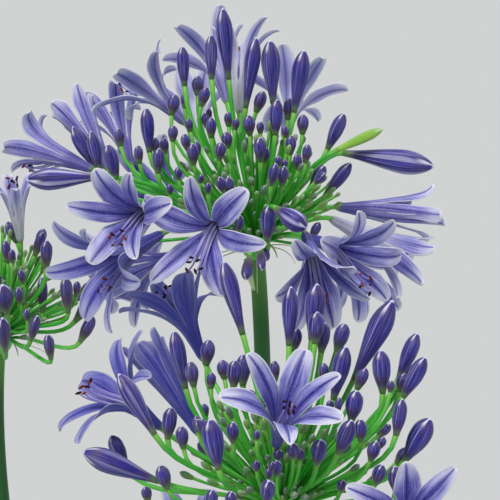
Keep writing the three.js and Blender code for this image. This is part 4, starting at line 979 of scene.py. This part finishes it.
# Leaves rise from the neck and arch over; the section is a shallow channel. The ranks come in turn, the
# outermost leaf first: it starts lowest and arches furthest.
def makeBlades(shoot):
    draw = Draw(shoot["seed"])
    number = np.array([draw() for _ in range(4 * leaf["count"])]).reshape(-1, 4)
    bearings, falls, lengths, widths = ((number - [0.5, 0, 0, 0]) * leaf["uneven"]).T
    fine = np.random.default_rng(shoot["seed"])
    i = np.arange(leaf["count"])
    rank = np.where(i % 2 == 0, 1, -1)
    inward = i // 2
    bearing = shoot["bearing"] + rank * (leaf["rankAngle"] - leaf["closer"] * inward) + bearings
    rise = leaf["rise"] + leaf["steeper"] * inward
    fall = leaf["fall"] - leaf["flatter"] * inward + falls
    length = leaf["length"] - leaf["shorter"] * (0.3 * inward + lengths)
    halfWidth = leaf["halfWidth"] * (0.85 + widths)
    root = np.stack([
        onCircle(shoot["bearing"], neck["circle"], soilLevel + leaf["firstHeight"] + leaf["spacing"] * k)
        + onCircle(shoot["bearing"] + 90, r * (8 - 2 * k), 0) for k, r in zip(inward, rank)
    ])
    steps = 60
    t = np.linspace(0, 1, steps + 1)
    angle = np.radians(rise[:, None] - fall[:, None] * t ** leaf["archPower"])
    out, side = (direction(np.radians(way), 0 * bearing)[:, None] for way in (bearing, bearing + 90))
    away, high = (walked(part(angle[:, 1:]) * length[:, None] / steps) for part in (np.cos, np.sin))
    centre = root[:, None] + out * away[..., None] + upward * high[..., None]
    normal = upward * np.cos(angle)[..., None] - out * np.sin(angle)[..., None]
    half = halfWidth[:, None] * np.minimum(1, 0.6 + 1.2 * t) * np.sqrt(np.clip(1 - t ** 5, 0.0004, 1))
    _, x, lens = ring(16)
    tilt = (np.radians(leaf["twist"]) * fine.uniform(-1, 1, (len(i), 1)) * t ** 2)[..., None]
    turnedSide = side * np.cos(tilt) + normal * np.sin(tilt)
    normal = normal * np.cos(tilt) - side * np.sin(tilt)
    waves = np.sin(t * fine.uniform(9, 15, (len(i), 1)) + fine.uniform(0, 6, (len(i), 1)))[..., None]
    channel = leaf["channel"] + waves * leaf["wave"]
    lift = half[..., None] * (x ** 2 * channel) + lens * leaf["thickness"] / 2
    points = sections(centre, turnedSide, normal, half[..., None] * x, lift)
    return tubes(points, np.r_[0, t, 1], np.r_[x, 1] * 0.5 + 0.5, tone=fine.uniform(0, 1, (len(i), 1, 1)))


# The neck: an oval tube of leaf bases wrapped round each other, each edge a small step.
def makeNeck(shoot):
    rows = 18
    v = np.linspace(0, 1, rows)
    phi, x, y = ring(48)
    shrink = between(1, neck["taper"], smooth(v, 0.35, 1))[:, None]
    step = ((phi / np.pi + v[:, None] * 1.2) % 1) * neck["step"] - 1
    x = (shrink * neck["halfDepth"] + step) * x
    y = (shrink * neck["halfWidth"] + step) * y
    z = between(soilLevel - neck["planted"], soilLevel + neck["rise"], v)
    middle = np.tile(onCircle(shoot["bearing"], neck["circle"], 0), (rows, 1)) + upward * z[:, None]
    outward, across = (np.tile(onCircle(shoot["bearing"] + a, 1, 0), (rows, 1)) for a in (0, 90))
    points = sections(middle[None], outward[None], across[None], x[None], y[None])
    return tubes(points, np.r_[0, v, 1] * 0.1, tone=0.5)


pot = {
    "height": 230, "footRadius": 88, "shoulderRadius": 116, "rimRadius": 130, "rimBand": 40, "rimDraft": 4,
    "wall": 9, "floor": 12, "drainRadius": 6, "drainCircle": 48, "drainHoles": 4, "rounding": 3.5,
}
potSlope = (pot["shoulderRadius"] - pot["footRadius"]) / (pot["height"] - pot["rimBand"])


def potInside(z):
    return pot["footRadius"] + potSlope * z - pot["wall"]


def makeClayFinish():
    f = Finish("clay", Specular_IOR_Level=0.25)
    place = f.place()
    high = f.node("SeparateXYZ", {}, {0: place}, 2)
    clouds = f.noise(place, 9, 4)
    grain = f.noise(place, 260, 3)
    rings = (high * 2600 + clouds * 6).cos()
    bloomed = f.noise(place, 22, 5).over(0.5, 0.72) * (high.under(0.02, 0.15) * 0.7 + 0.25)
    return f.paint(f.coats(
        (166, 88, 56),
        ((190, 112, 74), clouds * 1.2 - 0.1),
        ((132, 66, 44), grain.over(0.55, 0.8) * 0.5),
        ((216, 196, 176), bloomed * 0.55),
        ((120, 66, 46), high.under(0.0, 0.012) * 0.6),
    ), roughness=0.78 + grain * 0.2, relief=grain * 0.0004 + rings * 0.00006 + clouds * 0.0015)


def makeSoilFinish():
    f = Finish("soil", Roughness=0.95, Specular_IOR_Level=0.2)
    grain = f.noise(f.place(), 160, 5)
    return f.paint(f.coats(
        (44, 31, 22),
        ((86, 62, 44), grain.over(0.35, 0.7)),
        ((150, 116, 84), f.mark("tone").over(0.75, 0.95)),
    ), relief=grain * 0.003, strength=0.8)


# A turned shape: radius and height are rows of a profile, which runs from its lowest middle point outwards,
# up, in and down again to its highest middle point.
def spun(radius, height, sides):
    (_, x, y), radius = ring(sides), radius[:, None]
    return np.stack([radius * x, radius * y, height[:, None] + 0 * x], -1)


def turned(points, height, **marks):
    poles = np.array([[0, 0, height[0]], [0, 0, height[-1]]], float)
    return tubes(points[None], np.linspace(0, 1, len(height) + 2), None, poles[None], **marks)


def rounded(corners, reach, steps=5):  # each corner of a profile becomes a short curve
    corners = np.array(corners, float)
    rows = [corners[:1]]
    for a, b, c in zip(corners[:-2], corners[1:-1], corners[2:]):
        near = min(reach, 0.45 * np.linalg.norm(b - a), 0.45 * np.linalg.norm(c - b))
        p, q = b + unit(a - b) * near, b + unit(c - b) * near
        t = np.linspace(0, 1, steps)[:, None]
        rows.append(p * (1 - t) ** 2 + 2 * b * t * (1 - t) + q * t * t)
    return np.concatenate(rows + [corners[-1:]])


# The pot is one turned profile with rounded corners: the foot, up the wall, out and round the rim band, and
# down inside to the floor, which rods cut through for the drain holes.
def makePot():
    high, base, shoulder = pot["height"], pot["floor"], pot["height"] - pot["rimBand"]
    profile = rounded([
        (1, 0), (pot["footRadius"], 0), (pot["shoulderRadius"], shoulder),
        (pot["rimRadius"] - pot["rimDraft"], shoulder), (pot["rimRadius"], high),
        (potInside(high), high), (potInside(base), base), (1, base),
    ], pot["rounding"])
    # straight walls get rows of their own, about 12 apart, so that no face is long and thin
    gaps = np.maximum(1, (np.linalg.norm(np.diff(profile, axis=0), axis=1) / 12).astype(int))
    profile = np.concatenate([
        a + (b - a) * (np.arange(n) / n)[:, None] for a, b, n in zip(profile[:-1], profile[1:], gaps)
    ] + [profile[-1:]])
    radius, height = profile.T
    clay = build("clay_pot", [turned(spun(radius, height, 96), height)], ["clay"], "clay", "pot")
    cutters = []
    for k in range(pot["drainHoles"]):
        bearing = (k + 0.5) / pot["drainHoles"] * 360
        path = onCircle(bearing, pot["drainCircle"], 0) + np.array([[0, 0, -base], [0, 0, 2 * base]])
        cutters.append(rods(path[None], pot["drainRadius"], 24))
    cutter = build("drain_cutter", cutters, ["clay"], "clay")
    cut = clay.modifiers.new("drains", "BOOLEAN")
    cut.operation = "DIFFERENCE"
    cut.object = cutter
    bpy.context.view_layer.update()
    done = bpy.data.meshes.new_from_object(clay.evaluated_get(bpy.context.evaluated_depsgraph_get()))
    clay.modifiers.clear()
    clay.data = done
    bpy.data.objects.remove(cutter)


soil = {
    "dome": 6, "gap": 0.6, "rough": 2.6, "lumps": 26, "lumpSize": 34, "finer": 0.86,
    "crumbs": 420, "crumbLength": (1.2, 4.2),
}


# Crumbs of bark and grit are short stout rods that lie on the bed.
def makeCrumbs(edge, fine):
    n = soil["crumbs"]
    far, bearing = edge * 0.96 * np.sqrt(fine.uniform(0.01, 1, n)), fine.uniform(0, 2 * np.pi, n)
    z = soilLevel + soil["dome"] * smooth(1 - far / edge, 0, 0.5) - 1.2
    middle = np.stack([far * np.cos(bearing), far * np.sin(bearing), z], -1)
    way = unit(fine.normal(size=(n, 3)) * [1, 1, 0.35])
    long = fine.uniform(*soil["crumbLength"], n)
    s = np.linspace(-0.9, 0.9, 4)
    path = middle[:, None] + way[:, None] * (s * long[:, None])[..., None]
    fat = long[:, None] * fine.uniform(0.35, 0.7, (n, 1)) * np.sqrt(1 - s ** 2 * 0.8)
    return rods(path, fat, 6, tone=fine.uniform(0, 1, (n, 1, 1)))


# The bed is turned, with a flat dome; its lumps are a sum of waves in turned directions, each shorter and
# lower than the last.
def makeSoil():
    fine = np.random.default_rng(7)
    edge = potInside(soilLevel) - soil["gap"]
    low = pot["floor"] + seatGap
    radius = np.r_[1, potInside(low) - soil["gap"], edge, np.linspace(edge - 1, 1, 56)]
    top = soilLevel - 1.5 + soil["dome"] * smooth(1 - radius[3:] / edge, 0, 0.5)
    height = np.r_[low, low, soilLevel - 3, top]
    points = spun(radius, height, 160)
    x, y = points[3:, :, 0], points[3:, :, 1]
    lump = 0 * x
    for k in range(soil["lumps"]):
        size = soil["lumpSize"] * soil["finer"] ** k
        way = fine.uniform(0, 2 * np.pi)
        wave = (x * np.cos(way) + y * np.sin(way)) / size * 2 * np.pi
        lump = lump + np.sin(wave + fine.uniform(0, 6)) * size ** 0.75
    fade = smooth(radius[3:], 0, 12)[:, None] * smooth(edge - radius[3:], 0.5, 6)[:, None]
    points[3:, :, 2] += soil["rough"] * lump / np.abs(lump).max() * fade
    bed = turned(points, height, tone=0.0)
    build("soil_bed", [bed, makeCrumbs(edge, fine)], ["soil"], "soil", "soil")


studio = {
    "floor": (196, 197, 195), "reach": 30, "drop": 0.0005, "sky": (0.84, 0.9, 1.0, 1), "skyStrength": 0.31,
    "lens": 181.44, "sensor": 36, "farthest": 100, "camera": (0.03714, -1.10828, 1.25864), "tilt": 70,
}
lamps = {
    "sky": {"strength": 2.05, "angle": 18, "from": (-0.3, -0.4, 1.0), "colour": (1.0, 0.98, 0.95)},
    "fill": {"strength": 0.46, "angle": 60, "from": (0.15, -1.0, 0.3), "colour": (0.92, 0.95, 1.0)},
    "rim": {"strength": 1.15, "angle": 30, "from": (0.4, 0.7, 0.8), "colour": (0.95, 0.97, 1.0)},
}


def makeStudio():
    floor = bpy.data.meshes.new("floor")
    r, z = studio["reach"], -studio["drop"]
    floor.from_pydata([(-r, -r, z), (r, -r, z), (r, r, z), (-r, r, z)], [], [(0, 1, 2, 3)])
    f = Finish("floor", Roughness=0.9, Specular_IOR_Level=0.1)
    floor.materials.append(f.paint(linear(*studio["floor"])).material)
    add("floor", floor)

    world = bpy.data.worlds.new("studio")
    world.use_nodes = True
    sky = world.node_tree.nodes["Background"].inputs
    sky["Color"].default_value = studio["sky"]
    sky["Strength"].default_value = studio["skyStrength"]
    for name, lamp in lamps.items():
        light = add(
            name, bpy.data.lights.new(name, "SUN"),
            energy=lamp["strength"], color=lamp["colour"], angle=np.radians(lamp["angle"]),
        )
        light.rotation_euler = Vector(lamp["from"]).to_track_quat("Z", "Y").to_euler()
    camera = add(
        "camera", bpy.data.cameras.new("camera"),
        lens=studio["lens"], sensor_width=studio["sensor"], clip_end=studio["farthest"],
    )
    camera.location = studio["camera"]
    camera.rotation_euler = (np.radians(studio["tilt"]), 0, 0)
    scene = bpy.context.scene
    scene.world, scene.camera = world, camera
    scene.view_settings.view_transform = "Standard"


makeStudio()
print("studio ready")
finishes = {
    "petal": makePetalFinish(), "filament": makeFilamentFinish(), "anther": makeAntherFinish(),
    "bud": makeBudFinish(), "stalk": makeStalkFinish(), "scape": makeScapeFinish(), "leaf": makeLeafFinish(),
    "clay": makeClayFinish(), "soil": makeSoilFinish(),
}
print("finishes ready")
for name, head in heads.items():
    makeHead(name, head)
for shoot in shoots:
    build(shoot["name"] + "_blades", [makeBlades(shoot), makeNeck(shoot)], ["leaf"], "leaf", shoot["name"])
print("leaves ready")
makePot()
makeSoil()
print("pot and soil ready")
